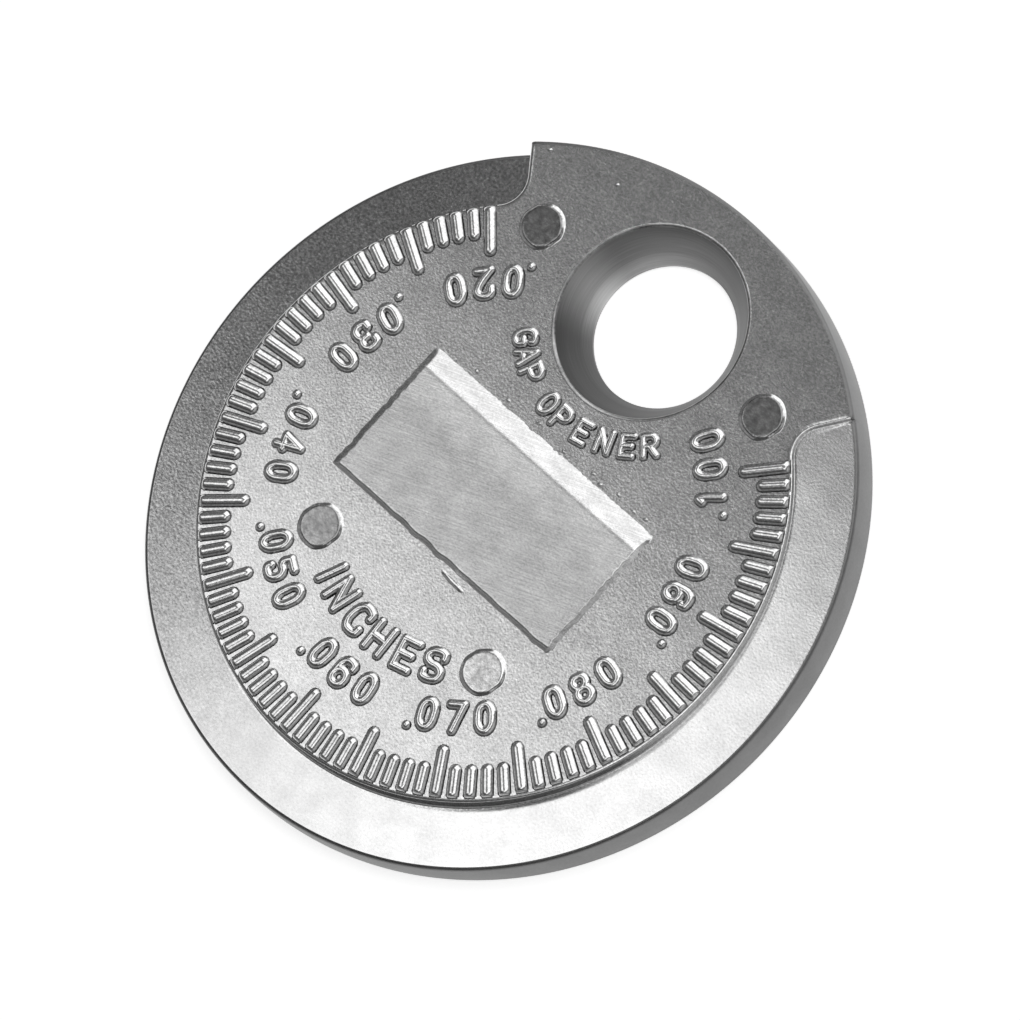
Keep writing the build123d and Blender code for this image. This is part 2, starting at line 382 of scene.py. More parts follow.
def turned_group():
    """Marks of the tool round the hole, as a number about 1."""
    sizes = {"Middle": HOLE_MIDDLE * MM, "Width": 0.05 * MM, "Contrast": 0.12}
    effect = Effect("turned marks", sizes, "Share")
    angle, height = round_hole(effect)
    spot = effect.vector(
        effect.calc("MULTIPLY", effect.calc("COSINE", angle), MARKS_ROUND),
        effect.calc("MULTIPLY", effect.calc("SINE", angle), MARKS_ROUND),
        effect.calc("DIVIDE", height, effect.size["Width"]),
    )
    swing = effect.swing(effect.noise(1.0, place=spot))
    return effect.end(effect.calc("MULTIPLY_ADD", swing, effect.size["Contrast"], 1.0))


def side_light_group():
    """One side of the hole with painted light, or painted shade where the gain is below 0, as a number
    about 1.
    """
    sizes = {"Middle": HOLE_MIDDLE * MM, "At": 195.0, "Wide": 38.0, "Gain": 1.0}
    effect = Effect("rubbed side", sizes, "Share")
    turn = effect.calc("SUBTRACT", effect.calc("DEGREES", round_hole(effect)[0]), effect.size["At"])
    full = effect.calc("FLOORED_MODULO", effect.calc("ADD", turn, 180.0), 360.0)
    away = effect.calc("ABSOLUTE", effect.calc("SUBTRACT", full, 180.0))
    near = effect.rise(away, effect.size["Wide"], 0.0)
    return effect.end(effect.calc("MULTIPLY_ADD", near, effect.size["Gain"], 1.0))


def hole_finish():
    """The wall of the hole: tool marks round it, a low tone of painted shade, and sides of painted
    light and shade.
    """
    finish = Finish(*HOLE_SKIN)
    side_lights = [finish.group(SIDE_LIGHT, at=at, wide=wide, gain=gain) for at, wide, gain in HOLE_PAINTED_SIDES]
    tone = finish.times(finish.group(TURNED), HOLE_SHADE_TONE, *side_lights)
    return finish.end(tone, **HOLE_GRAIN)


TURNED, SIDE_LIGHT = turned_group(), side_light_group()
FINISHES[HOLE] = hole_finish()
print("hole finish", FINISHES[HOLE].name)

# %% [markdown]
# The panel was brushed one way, which on a real part takes one pass over an abrasive belt. Here it is
# noise that is stretched along one direction. Beside its worn side the panel's tone is raised, a
# painted highlight. The ridges, in turn, are darkened at their feet, a painted shade in the corner.

# %% The finishes of the panel and the ridges
PANEL_SKIN = ("brushed panel", 0.27)
PANEL_TONE = 0.7
PANEL_SPECKS = 0.12
PANEL_SHEEN_GAIN = 1.3
RIDGE_SKIN = ("ridge skin", 0.17)
RIDGE_TONE = 0.76
RIDGE_SPECKS = 0.22


def brush_group():
    """Fine scratches that run one way in the plane of the face, as a number about 1."""
    sizes = {"Angle": 20.0, "Length": 2.5 * MM, "Width": 0.07 * MM, "Contrast": 0.15}
    effect = Effect("brushing", sizes, "Share")
    size = effect.size
    turn = effect.calc("MULTIPLY", effect.calc("RADIANS", size["Angle"]), -1.0)
    axes = effect.axes(effect.turned(effect.place, turn))
    spot = effect.vector(
        effect.calc("DIVIDE", axes["X"], size["Length"]),
        effect.calc("DIVIDE", axes["Y"], size["Width"]),
    )
    swing = effect.swing(effect.noise(1.0, place=spot))
    return effect.end(effect.calc("MULTIPLY_ADD", swing, size["Contrast"], 1.0))


def panel_sheen_group():
    """How far a painted highlight raises the panel's tone: 0 in its middle and on its worn slope, 1
    between them.
    """
    sizes = {"Plain to": 0.2 * MM, "Bright at": 2.9 * MM, "Slope from": 3.5 * MM}
    effect = Effect("rubbed panel", sizes, "Mask")
    y = effect.axes(effect.place)["Y"]
    total = 1.0
    for start in ("Plain to", "Slope from"):
        rise = effect.rise(y, effect.size[start], effect.size["Bright at"])
        total = effect.calc("MULTIPLY", rise, total)
    return effect.end(total)


def foot_shade_group():
    """Painted shade at the foot of a ridge, as a number by which the tone is lowered."""
    sizes = {"Face": FACE * MM, "Unshaded above": 0.2 * MM, "Foot": 0.12}
    effect = Effect("grimy corner", sizes, "Share")
    size = effect.size
    above = effect.calc("SUBTRACT", effect.axes(effect.place)["Z"], size["Face"])
    return effect.end(effect.rise(above, 0.0, size["Unshaded above"], size["Foot"], 1.0))


def panel_finish():
    """The panel: the cast skin, brushed one way, with a painted highlight beside its worn side."""
    finish = Finish(*PANEL_SKIN)
    specks = finish.group(SPECKLE, contrast=PANEL_SPECKS, patch_contrast=PANEL_SPECKS)
    # a painted highlight: the tone rises beside the worn side
    rubbed = finish.blend(finish.group(PANEL_SHEEN), 1.0, PANEL_SHEEN_GAIN)
    tone = finish.times(specks, PANEL_TONE)
    return finish.end(finish.times(finish.group(BRUSH), tone, rubbed))


def ridge_finish():
    """The raised ticks and characters: the cast skin, with painted shade along their feet."""
    finish = Finish(*RIDGE_SKIN)
    specks = finish.group(SPECKLE, contrast=RIDGE_SPECKS)
    # painted shade: the tone is lowered near the face, at the feet of the ridges
    return finish.end(finish.times(specks, RIDGE_TONE, finish.group(FOOT_SHADE)))


BRUSH, PANEL_SHEEN, FOOT_SHADE = brush_group(), panel_sheen_group(), foot_shade_group()
FINISHES[PANEL] = panel_finish()
FINISHES[RIDGE] = ridge_finish()
print("finishes", len(FINISHES))

# %% [markdown]
# ## The coin
# A die casting has no sharp corners: the metal rounds over at the top of each wall and runs out in a
# fillet at its foot. So the coin isn't drawn as a disc with a groove. It is one skin of rings that
# follow the pocket's edge, and each ring is one step of the wall's section. Both roundings grow with
# the height of the wall, because the ramp climbs. So each ring has four moves: how far outwards and
# how far down, each with a fixed part in millimetres and a part that grows with the wall's height.

# %% Section of the pocket wall
LEAN = math.radians(90.0 - WALL_DRAFT)
TOP_WIDE = (0.26, 0.0)
TOP_DEEP = (0.04, 0.05)
FOOT_ROUND = (0.04, 0.06)
FLAT_RING = 0.12
ROUND_STEPS = 6
FOOT_STEPS = 6


def wall_section():
    """Rings of the wall as (across, across_rise, down, down_rise), from the face to the ramp."""
    bend = math.tan(LEAN / 2)
    spread = math.tan(math.radians(WALL_DRAFT))
    lean = spread * (1 - math.cos(LEAN))
    rings = []
    for step in range(ROUND_STEPS + 1):
        turn = LEAN * step / ROUND_STEPS
        out, drop = math.sin(turn) - math.sin(LEAN), 1 - math.cos(turn)
        across = [out * wide + lean * deep for wide, deep in zip(TOP_WIDE, TOP_DEEP)]
        rings.append((*across, drop * TOP_DEEP[0], drop * TOP_DEEP[1]))
    for step in range(FOOT_STEPS + 1):
        turn = LEAN * (1 - step / FOOT_STEPS)
        out, lift = bend - math.sin(turn), 1 - math.cos(turn)
        across = (out * FOOT_ROUND[0], spread + out * FOOT_ROUND[1])
        rings.append((*across, -lift * FOOT_ROUND[0], 1 - lift * FOOT_ROUND[1]))
    top, foot = rings[0], rings[-1]
    return [(top[0] - FLAT_RING, *top[1:]), *rings, (foot[0] + FLAT_RING, *foot[1:])]


SECTION = wall_section()
print("rings", len(SECTION))

# %% [markdown]
# Every ring passes the same stations: along one end of the lug from the outer edge inwards, through
# the round corner, the long way round the hub, and out again. On the real part the hub's edge leans
# out a little over the pocket on one side, where the die is worn, and so it does here.

# %% Stations along the pocket's edge
CORNER_AWAY = HUB_RADIUS + POCKET_CORNER
CORNER_TURN = math.degrees(math.asin(POCKET_CORNER / CORNER_AWAY))
CORNER_START = math.sqrt(CORNER_AWAY**2 - POCKET_CORNER**2)
POCKET_START = FIRST_ANGLE - POCKET_MARGIN
POCKET_END = POCKET_START + SCALE_ANGLE + 2 * POCKET_MARGIN
EDGE_ROUND = 0.2
EDGE_SLOPE = math.tan(math.radians(OUTER_DRAFT))
EDGE_BULGE = 0.11
BULGE_TURNS = (150.0, 220.0, 340.0, 400.0)
LUG_STEPS = 8
CORNER_STEPS = 14
HUB_STEPS = 300


def outer_radius(height):
    """Radius of the drafted outer wall at a height above the back."""
    return COIN_RADIUS - (height - BACK_ROUND) * EDGE_SLOPE


def lug_end(angle, side, ring):
    """One ring's points and directions at an end of the lug, from the outer edge inwards."""
    across, across_rise, down, down_rise = ring
    radial, outward = along(angle), side * along(angle + 90.0)
    height = wall_height(angle)
    edge = outer_radius(FACE - down - down_rise * height) - EDGE_ROUND
    start = math.sqrt(edge**2 - (across + across_rise * height) ** 2)
    found = []
    for step in range(LUG_STEPS):
        away = start + (CORNER_START - start) * step / LUG_STEPS
        found.append((away * radial, outward))
    middle = CORNER_START * radial + POCKET_CORNER * outward
    for step in range(CORNER_STEPS):
        turn = math.radians(90.0 - CORNER_TURN) * step / CORNER_STEPS
        facing = math.cos(turn) * outward + math.sin(turn) * radial
        found.append((middle - POCKET_CORNER * facing, facing))
    return found


def edge_bulge(angle):
    """How far the hub's edge leans out over the pocket, where the die has worn."""
    up, full, down, end = BULGE_TURNS
    rising = min(max((angle - up) / (full - up), 0.0), 1.0)
    falling = min(max((end - angle) / (end - down), 0.0), 1.0)
    return EDGE_BULGE * (rising * falling)


def ring_places(ring):
    """All points of one ring with their outward directions, the long way round the hub."""
    first, last = POCKET_START + CORNER_TURN, POCKET_END - CORNER_TURN
    is_top = ring[3] < 0.5
    middle = []
    for step in range(HUB_STEPS + 1):
        turn = first + (last - first) * step / HUB_STEPS
        radius = HUB_RADIUS + (edge_bulge(turn) if is_top else 0.0)
        middle.append((radius * along(turn), along(turn)))
    return lug_end(POCKET_START, 1.0, ring) + middle + lug_end(POCKET_END, -1.0, ring)[::-1]


print("stations", len(ring_places(SECTION[0])))

# %% [markdown]
# The whole skin is laid out flat first. Every point of this plan keeps its place, the direction in
# which it may move outwards, and its four moves. Each face keeps the number of its finish.

# %% A flat plan of points and faces
STILL = (0.0, 0.0, 0.0, 0.0)


class Plan:
    """Points and faces of the flat plan, with each point's outward direction and moves."""

    def __init__(self):
        self.places, self.outward, self.moves, self.faces = [], [], [], []
        self.finish, self.finishes = SKIN, []

    def face(self, corners):
        self.faces.append(corners)
        self.finishes.append(self.finish)

    def add(self, place, facing=(0.0, 0.0), moves=STILL):
        self.places.append((place[0], place[1]))
        self.outward.append((facing[0], facing[1], 0.0))
        self.moves.append(moves)
        return len(self.places) - 1

    def height(self, point):
        return wall_height(turn_of(self.places[point]))

    def moved(self, point):
        """Where a point lies in the plane once the rule has been applied."""
        across, across_rise = self.moves[point][:2]
        away = across + across_rise * self.height(point)
        return np.array(self.places[point]) + np.array(self.outward[point][:2]) * away

    def strip(self, inner, outer, closed=False):
        """Quads between two rows that run counterclockwise, facing up if the second lies outside."""
        for k in range(len(inner) - (0 if closed else 1)):
            n = (k + 1) % len(inner)
            quad = [inner[k], outer[k], outer[n], inner[n]]
            kept = [v for i, v in enumerate(quad) if v != quad[i - 1]]
            if len(kept) > 2:
                self.face(kept)

    def strips(self, rows, closed=False):
        for inner, outer in zip(rows, rows[1:]):
            self.strip(inner, outer, closed)


def turn_of(place):
    """The angle at which a place in the plane lies, in degrees."""
    return math.degrees(math.atan2(place[1], place[0]))


plan = Plan()
rings = []
for ring in SECTION:
    rings.append([plan.add(place, facing, ring) for place, facing in ring_places(ring)])
plan.strips(rings)
print("wall faces", len(plan.faces))

# %% [markdown]
# The ramp is filled with rows from the foot of the wall to the outer edge. They fan out from the
# round corners, so that no face gets thin there. A last narrow row beside the edge, the guard, keeps
# the smooth shading of the rounded edge from spreading over the flat ramp.

# %% The ramp
FLOOR_ROWS = 7
GUARD = 0.07
FAN = 2


def floor_angles(foot):
    """Where the rows over the ramp meet the outer edge, as angles."""
    angles = []
    for point in foot:
        place, facing = plan.moved(point), np.array(plan.outward[point][:2])
        way = facing + FAN * place / np.linalg.norm(place)
        way /= np.linalg.norm(way)
        reach = outer_radius(FACE - plan.height(point)) - EDGE_ROUND
        near = place @ way
        step = -near + math.sqrt(max(near**2 + reach**2 - place @ place, 0.0))
        angles.append(turn_of(place + way * step))
    turns = LUG_STEPS + CORNER_STEPS
    for step in range(turns):
        share = step / turns
        angles[step] = angles[0] + (angles[turns] - angles[0]) * share
        angles[-1 - step] = angles[-1] + (angles[-1 - turns] - angles[-1]) * share
    return angles


def floor_rows(foot, angles):
    """Rows over the ramp, from the foot of the wall to the coin's outer edge."""
    rows = [list(foot)]
    ends = []
    for angle in angles:
        ends.append((outer_radius(FACE - wall_height(angle)) - EDGE_ROUND) * along(angle))
    for row in range(1, FLOOR_ROWS + 2):
        share = min(row / FLOOR_ROWS, 1.0)
        new = [foot[0]]
        for point, end in zip(foot[1:-1], ends[1:-1]):
            start = plan.moved(point)
            short = 0.0 if row > FLOOR_ROWS else min(GUARD / np.linalg.norm(end - start), 0.5)
            place = start + (end - start) * share * (1 - short)
            new.append(plan.add(place, moves=(0.0, 0.0, 0.0, 1.0)))
        rows.append(new + [foot[-1]])
    return rows


plan.finish = RIM
edge_angles = floor_angles(rings[-1])
ramp_rows = floor_rows(rings[-1], edge_angles)
plan.strips(ramp_rows)
print("with the ramp", len(plan.faces))

# %% [markdown]
# The outer edge is one closed outline: round the ramp, up one end of the wall, along the lug and down
# the other end. Each of its points goes down in a column: the rounded upper edge, the drafted wall,
# which a casting needs to leave the die, and the rounded edge of the back.

# %% The outer wall
EDGE_STEPS = 5
LUG_COLUMNS = 80
BASE_RADIUS = 19.0
HALF_WAY = 0.5


def ring_end(ring, station):
    """An end of a ring as (point, angle, down, down_rise)."""
    point = ring[station]
    down, down_rise = plan.moves[point][2:]
    return point, turn_of(plan.moved(point)), down + down_rise * plan.height(point), 0.0


def outline(edge, angles):
    """The coin's outline as columns (point, angle, down, down_rise), and the guard along the lug."""
    columns = [(point, angle, 0.0, 1.0) for point, angle in zip(edge, angles)]
    columns += [ring_end(ring, -1) for ring in rings[-2::-1]]
    start = [ring_end(ring, 0) for ring in rings[:-1]]
    first, last = columns[-1][1], start[0][1]
    radius = outer_radius(FACE) - EDGE_ROUND
    lug, guard = [], []
    for step in range(1, LUG_COLUMNS):
        angle = first + (last - first) * step / LUG_COLUMNS
        lug.append(plan.add(radius * along(angle)))
        guard.append(plan.add((radius - GUARD) * along(angle)))
        columns.append((lug[-1], angle, 0.0, 0.0))
    top = rings[0]
    plan.finish = SKIN
    plan.strip([top[-2], *guard, top[1]], [top[-1], *lug, top[0]])
    return columns + start, guard


def wall_row(columns, radius, radius_rise, down_share, down_add):
    """One loop of the outer wall; the radius is a function of the depth of its column's top."""
    new = []
    for _, angle, down, down_rise in columns:
        across = (radius(down) - BASE_RADIUS, radius_rise * down_rise)
        depth = (down_share * down + down_add, down_share * down_rise)
        new.append(plan.add(BASE_RADIUS * along(angle), along(angle), (*across, *depth)))
    return new


def outer_wall(columns):
    """The rounded outer edge, the drafted wall and the rounded back edge."""
    rows = [[column[0] for column in columns]]
    for step in range(1, EDGE_STEPS + 1):
        turn = math.radians(90.0 - OUTER_DRAFT) * step / EDGE_STEPS
        out, drop = EDGE_ROUND * (math.sin(turn) - 1), EDGE_ROUND * (1 - math.cos(turn))
        rows.append(
            wall_row(columns, lambda down: outer_radius(FACE - down) + out, EDGE_SLOPE, 1.0, drop)
        )
    low, slope = FACE - BACK_ROUND, HALF_WAY * EDGE_SLOPE
    rows.append(
        wall_row(
            columns,
            lambda down: COIN_RADIUS - (low - down - EDGE_ROUND) * slope,
            slope,
            HALF_WAY,
            HALF_WAY * (EDGE_ROUND + low),
        )
    )
    for step in range(EDGE_STEPS + 1):
        turn = math.radians(90.0) * step / EDGE_STEPS
        out, rise = BACK_ROUND * (math.cos(turn) - 1), BACK_ROUND * (1 - math.sin(turn))
        rows.append(wall_row(columns, lambda down: COIN_RADIUS + out, 0.0, 0.0, FACE - rise))
    rows.append(wall_row(columns, lambda down: COIN_RADIUS - BACK_ROUND - GUARD, 0.0, 0.0, FACE))
    plan.strips(rows, closed=True)
    return rows[-1]


columns, lug_guard = outline(ramp_rows[-1], edge_angles)
plan.finish = SHADED_SIDE
back_loop = outer_wall(columns)
print("with the outer wall", len(plan.faces))

# %% [markdown]
# The hole is a cone that opens towards the face, with a short straight land at the back. Its edge at
# the face is broken by a small rounding, which is duller than the skin around it.

# %% The hole
HOLE_STEPS = 144
HOLE_ROUND = 0.11
HOLE_BENDS = 4
CONE_SHARES = (0.33, 0.67, 1.0)
LAND_BEND = 0.06


def hole_section():
    """Radius and depth of the hole's loops, from the face down to the back."""
    deep = FACE - HOLE_LAND
    cone = (HOLE_FRONT - HOLE_BACK) / deep
    section = [(HOLE_FRONT + HOLE_ROUND + GUARD, 0.0), (HOLE_FRONT + HOLE_ROUND, 0.0)]
    for step in range(1, HOLE_BENDS + 1):
        share = step / HOLE_BENDS
        low = HOLE_ROUND * share**2
        section.append((HOLE_FRONT + HOLE_ROUND * (1 - share) ** 2 - cone * low, low))
    section += [(HOLE_FRONT - cone * share * deep, share * deep) for share in CONE_SHARES]
    section.append((HOLE_BACK, FACE - LAND_BEND))
    section.append((HOLE_BACK + LAND_BEND, FACE))
    section.append((HOLE_BACK + LAND_BEND + GUARD, FACE))
    return section


hole_rows = []
for radius, depth in hole_section():
    row = []
    for step in range(HOLE_STEPS):
        place = radius * along(-360.0 * step / HOLE_STEPS) + np.array([0.0, HOLE_MIDDLE])
        row.append(plan.add(place, moves=(0.0, 0.0, depth, 0.0)))
    hole_rows.append(row)
cone_from = 1 + HOLE_BENDS
for finish, start, end in ((SKIN, 0, 1), (EDGE, 1, cone_from), (HOLE, cone_from, len(hole_rows))):
    plan.finish = finish
    plan.strips(hole_rows[start : end + 1], closed=True)
print("with the hole", len(plan.faces))

# %% [markdown]
# The face and the back are flat, each between an outline and a loop of the hole. They are cut into
# small triangles all the same: one large face with hundreds of corners would shade unevenly.

# %% The two flat faces
FILL_STEP = 1.3
ROW_STEP = 0.87
CLEAR_OF_HOLE = HOLE_FRONT + 0.9
CLEAR_OF_SIDE = COIN_RADIUS - 0.8
CLEAR_OF_EDGE = 0.5


def inside_loop(spot, loop):
    """Whether a spot lies inside an outline: how often a ray from it crosses the outline."""
    x, y = loop[:, 0], loop[:, 1]
    x2, y2 = np.roll(x, -1), np.roll(y, -1)
    crosses = (y > spot[1]) != (y2 > spot[1])
    at = x + (spot[1] - y) * (x2 - x) / np.where(y2 == y, 1.0, y2 - y)
    return np.count_nonzero(crosses & (spot[0] < at)) % 2 == 1


def fill_spots(outer):
    """A grid of spots that keeps clear of the outline and of the hole."""
    spots = []
    reach = int(COIN_RADIUS / FILL_STEP)
    for row in range(-reach, reach + 1):
        for column in range(-reach, reach + 1):
            x, y = (column + 0.5 * (row % 2)) * FILL_STEP, row * FILL_STEP * ROW_STEP
            clear = np.hypot(x, y - HOLE_MIDDLE) > CLEAR_OF_HOLE and np.hypot(x, y) < CLEAR_OF_SIDE
            if clear and np.min(np.hypot(*(outer - (x, y)).T)) > CLEAR_OF_EDGE:
                spots.append(Vector((x, y)))
    return spots


def fill(around, inside, depth, up):
    """A flat face between two loops, cut into small triangles."""
    known = around + inside
    places = [Vector(plan.moved(point)) for point in known]
    edges = []
    for start, count in ((0, len(around)), (len(around), len(inside))):
        edges += [(start + k, start + (k + 1) % count) for k in range(count)]
    outer = np.array([plan.moved(point) for point in around])
    made = delaunay_2d_cdt(places + fill_spots(outer), edges, [], 0, 1e-6)
    points, triangles, sources = made[0], made[2], made[3]
    index = []
    for place, source in zip(points, sources):
        old = [k for k in source if k < len(known)]
        index.append(known[old[0]] if old else plan.add(place, moves=(0.0, 0.0, depth, 0.0)))
    hole_loop = set(inside)
    for triangle in triangles:
        corners = [index[k] for k in triangle]
        middle = sum((np.array(points[k]) for k in triangle), np.zeros(2)) / 3
        in_hole = np.hypot(middle[0], middle[1] - HOLE_MIDDLE) <= HOLE_BACK
        if inside_loop(middle, outer) and not in_hole and not hole_loop.issuperset(corners):
            plan.face(corners if up else corners[::-1])


plan.finish = SKIN
fill(rings[0][1:-1] + lug_guard, hole_rows[0], 0.0, True)
fill(back_loop, hole_rows[-1], FACE, False)
print("points", len(plan.places), "faces", len(plan.faces))

# %% [markdown]
# The tree below is the rule itself. It reads the angle of each point, works out how far the ramp
# lies below the face there, and moves the point outwards and down by its own shares of that depth.
# Changing one of its inputs changes the whole ramp, as it would on the real gauge.

# %% The ramp's rule as a node tree


class Shape(Nodes):
    """A Geometry Nodes tree with named sizes."""

    def __init__(self, name, sizes):
        super().__init__(bpy.data.node_groups.new(name, "GeometryNodeTree"))
        kind = "NodeSocketGeometry"
        self.tree.interface.new_socket("Geometry", in_out="INPUT", socket_type=kind)
        self.size, self.result = add_sockets(self.tree, sizes, "Geometry", kind)

    def attribute(self, name, kind="FLOAT"):
        made = self.node("GeometryNodeInputNamedAttribute", data_type=kind)
        made.inputs["Name"].default_value = name
        return made.outputs["Attribute"]

    def end(self, geometry, finishes):
        """Real geometry in one finish, or each face in the finish that its attribute asks for."""
        real = self.node("GeometryNodeRealizeInstances")
        self.feed(real.inputs[0], geometry)
        done = real.outputs[0]
        for finish in finishes:
            paint = self.node("GeometryNodeSetMaterial")
            self.feed(paint.inputs["Geometry"], done)
            if len(finishes) > 1:
                here = self.node("FunctionNodeCompare", data_type="INT", operation="EQUAL")
                self.feed(here.inputs["A"], self.attribute("finish", "INT"))
                here.inputs["B"].default_value = finish
                self.feed(paint.inputs["Selection"], here.outputs[0])
            paint.inputs["Material"].default_value = FINISHES[finish]
            done = paint.outputs[0]
        self.feed(self.result, done)
        return self.tree


def ramp_tree():
    """Geometry Nodes: lays every point of the plan on the face, the wall or the ramp."""
    sizes = {
        "Face": FACE * MM,
        "First gap": FIRST_GAP * MM,
        "Last gap": LAST_GAP * MM,
        "First angle": FIRST_ANGLE,
        "Scale angle": SCALE_ANGLE,
    }
    shape = Shape("ramp rule", sizes)
    size = shape.size
    axes = shape.axes(shape.node("GeometryNodeInputPosition").outputs[0])
    angle = shape.calc("DEGREES", shape.calc("ARCTAN2", axes["Y"], axes["X"]))
    past_lug = shape.calc("FLOORED_MODULO", shape.calc("SUBTRACT", angle, 90.0), 360.0)
    turn = shape.calc("SUBTRACT", shape.calc("ADD", past_lug, 90.0), size["First angle"])
    climb = shape.calc("SUBTRACT", size["Last gap"], size["First gap"])
    share = shape.calc("DIVIDE", turn, size["Scale angle"])
    gap = shape.calc("ADD", size["First gap"], shape.calc("MULTIPLY", climb, share))
    depth = shape.calc("SUBTRACT", size["Face"], gap)
    rises = [shape.attribute(name) for name in ("across_rise", "across", "down_rise", "down")]
    across = shape.calc("MULTIPLY_ADD", rises[0], depth, rises[1])
    down = shape.calc("MULTIPLY_ADD", rises[2], depth, rises[3])
    outward = shape.node("ShaderNodeVectorMath", operation="SCALE")
    shape.feed(outward.inputs["Vector"], shape.attribute("outward", "FLOAT_VECTOR"))
    shape.feed(outward.inputs["Scale"], across)
    move = shape.node("ShaderNodeVectorMath", operation="ADD")
    shape.feed(move.inputs[0], outward.outputs["Vector"])
    shape.feed(move.inputs[1], shape.vector(0.0, 0.0, shape.calc("SUBTRACT", size["Face"], down)))
    shift = shape.node("GeometryNodeSetPosition")
    shape.feed(shift.inputs["Geometry"], size["Geometry"])
    shape.feed(shift.inputs["Offset"], move.outputs["Vector"])
    return shape.end(shift.outputs["Geometry"], (SKIN, RIM, SHADED_SIDE, HOLE, EDGE))


RAMP = ramp_tree()
print("ramp rule", len(RAMP.nodes), "nodes")

# %% [markdown]
# The plan becomes a mesh, and the tree lifts it into shape. The result is kept as a plain mesh, which
# any program can open. A casting is one closed skin, so the last lines count its open edges and
# measure its volume, which has to be close to that of the CAD solid.

# %% Make the coin
COIN_SHARP = 50.0


def mesh_piece(name, points, faces):
    """A new object from points in millimetres, with its place in its mesh."""
    mesh = bpy.data.meshes.new(name)
    mesh.from_pydata([tuple(MM * c for c in p) for p in points], [], faces)
    piece = bpy.data.objects.new(name, mesh)
    bpy.context.scene.collection.objects.link(piece)
    return piece


def settle(piece, group, sharp):
    """Applies a node tree, keeps the result as a plain mesh, and shades it smooth."""
    modifier = piece.modifiers.new("shape", "NODES")
    modifier.node_group = group
    seen = piece.evaluated_get(bpy.context.evaluated_depsgraph_get())
    mesh = bpy.data.meshes.new_from_object(seen)
    mesh.name = piece.name
    piece.modifiers.remove(modifier)
    piece.data = mesh
    return smooth(piece, sharp)


def smooth(piece, sharp):
    """Smooth shading, with edges sharper than the angle left crisp."""
    piece.data.shade_smooth()
    piece.data.set_sharp_from_angle(angle=math.radians(sharp))
    return piece


def keep_attribute(mesh, name, kind, values):
    attribute = mesh.attributes.new(name, kind, "POINT")
    key = "vector" if kind == "FLOAT_VECTOR" else "value"
    attribute.data.foreach_set(key, np.array(values, dtype=np.float32).ravel())


coin = mesh_piece("coin", [(x, y, 0.0) for x, y in plan.places], plan.faces)
keep_attribute(coin.data, "outward", "FLOAT_VECTOR", plan.outward)
for column, name in enumerate(("across", "across_rise", "down", "down_rise")):
    scale = 1.0 if name.endswith("rise") else MM
    keep_attribute(coin.data, name, "FLOAT", [scale * move[column] for move in plan.moves])
coin.data.attributes.new("finish", "INT", "FACE").data.foreach_set("value", plan.finishes)
settle(coin, RAMP, COIN_SHARP)
check = bmesh.new()
check.from_mesh(coin.data)
open_edges = sum(not edge.is_manifold for edge in check.edges)
print("coin open edges", open_edges, "volume mm3", check.calc_volume() / MM**3)
check.free()

# %% [markdown]
# ## The scale
# Every tick is the same ridge, so one cube of small faces is repeated and bent into shape by a node
# tree. The tree gets the number of ticks, the radii and the ridge's section as sizes. Each copy keeps
# its number, and from this come its angle and whether it is one of the long ticks.

# %% The ridges of the scale
TICK_SIZES = {
    "Face": FACE * MM,
    "Ticks": TICK_COUNT,
    "Ticks per long tick": 5,
    "First angle": FIRST_ANGLE,
    "Pitch": TICK_PITCH,
    "Long radius": 13.45 * MM,
    "Short radius": 14.45 * MM,
    "Outer radius": 16.36 * MM,
    "Half width": 0.39 * MM,
    "Fullness": 0.55,
    "Height": 0.26 * MM,
    "Outer end": 0.22 * MM,
    "Sink": 0.14 * MM,
}
TICK_GRID = (26, 23, 2)
TICK_SHARP = 60.0
TIP_CROWDING = 1.25
FOOT_SHARE = 0.94
FOOT_SINK = 0.012 * MM


def tick_copies(shape):
    """One unit cube for each tick, with the tick's number on all its points."""
    cube = shape.node("GeometryNodeMeshCube")
    for label, count in zip(("Vertices X", "Vertices Y", "Vertices Z"), TICK_GRID):
        cube.inputs[label].default_value = count
    cube.inputs["Size"].default_value = (1, 1, 1)
    points = shape.node("GeometryNodePoints")
    shape.feed(points.inputs["Count"], shape.size["Ticks"])
    number = shape.node("GeometryNodeStoreNamedAttribute", data_type="FLOAT", domain="POINT")
    number.inputs["Name"].default_value = "number"
    shape.feed(number.inputs["Geometry"], points.outputs[0])
    shape.feed(number.inputs["Value"], shape.node("GeometryNodeInputIndex").outputs[0])
    copies = shape.node("GeometryNodeInstanceOnPoints")
    shape.feed(copies.inputs["Points"], number.outputs[0])
    shape.feed(copies.inputs["Instance"], cube.outputs["Mesh"])
    real = shape.node("GeometryNodeRealizeInstances")
    shape.feed(real.inputs[0], copies.outputs[0])
    return real.outputs[0]


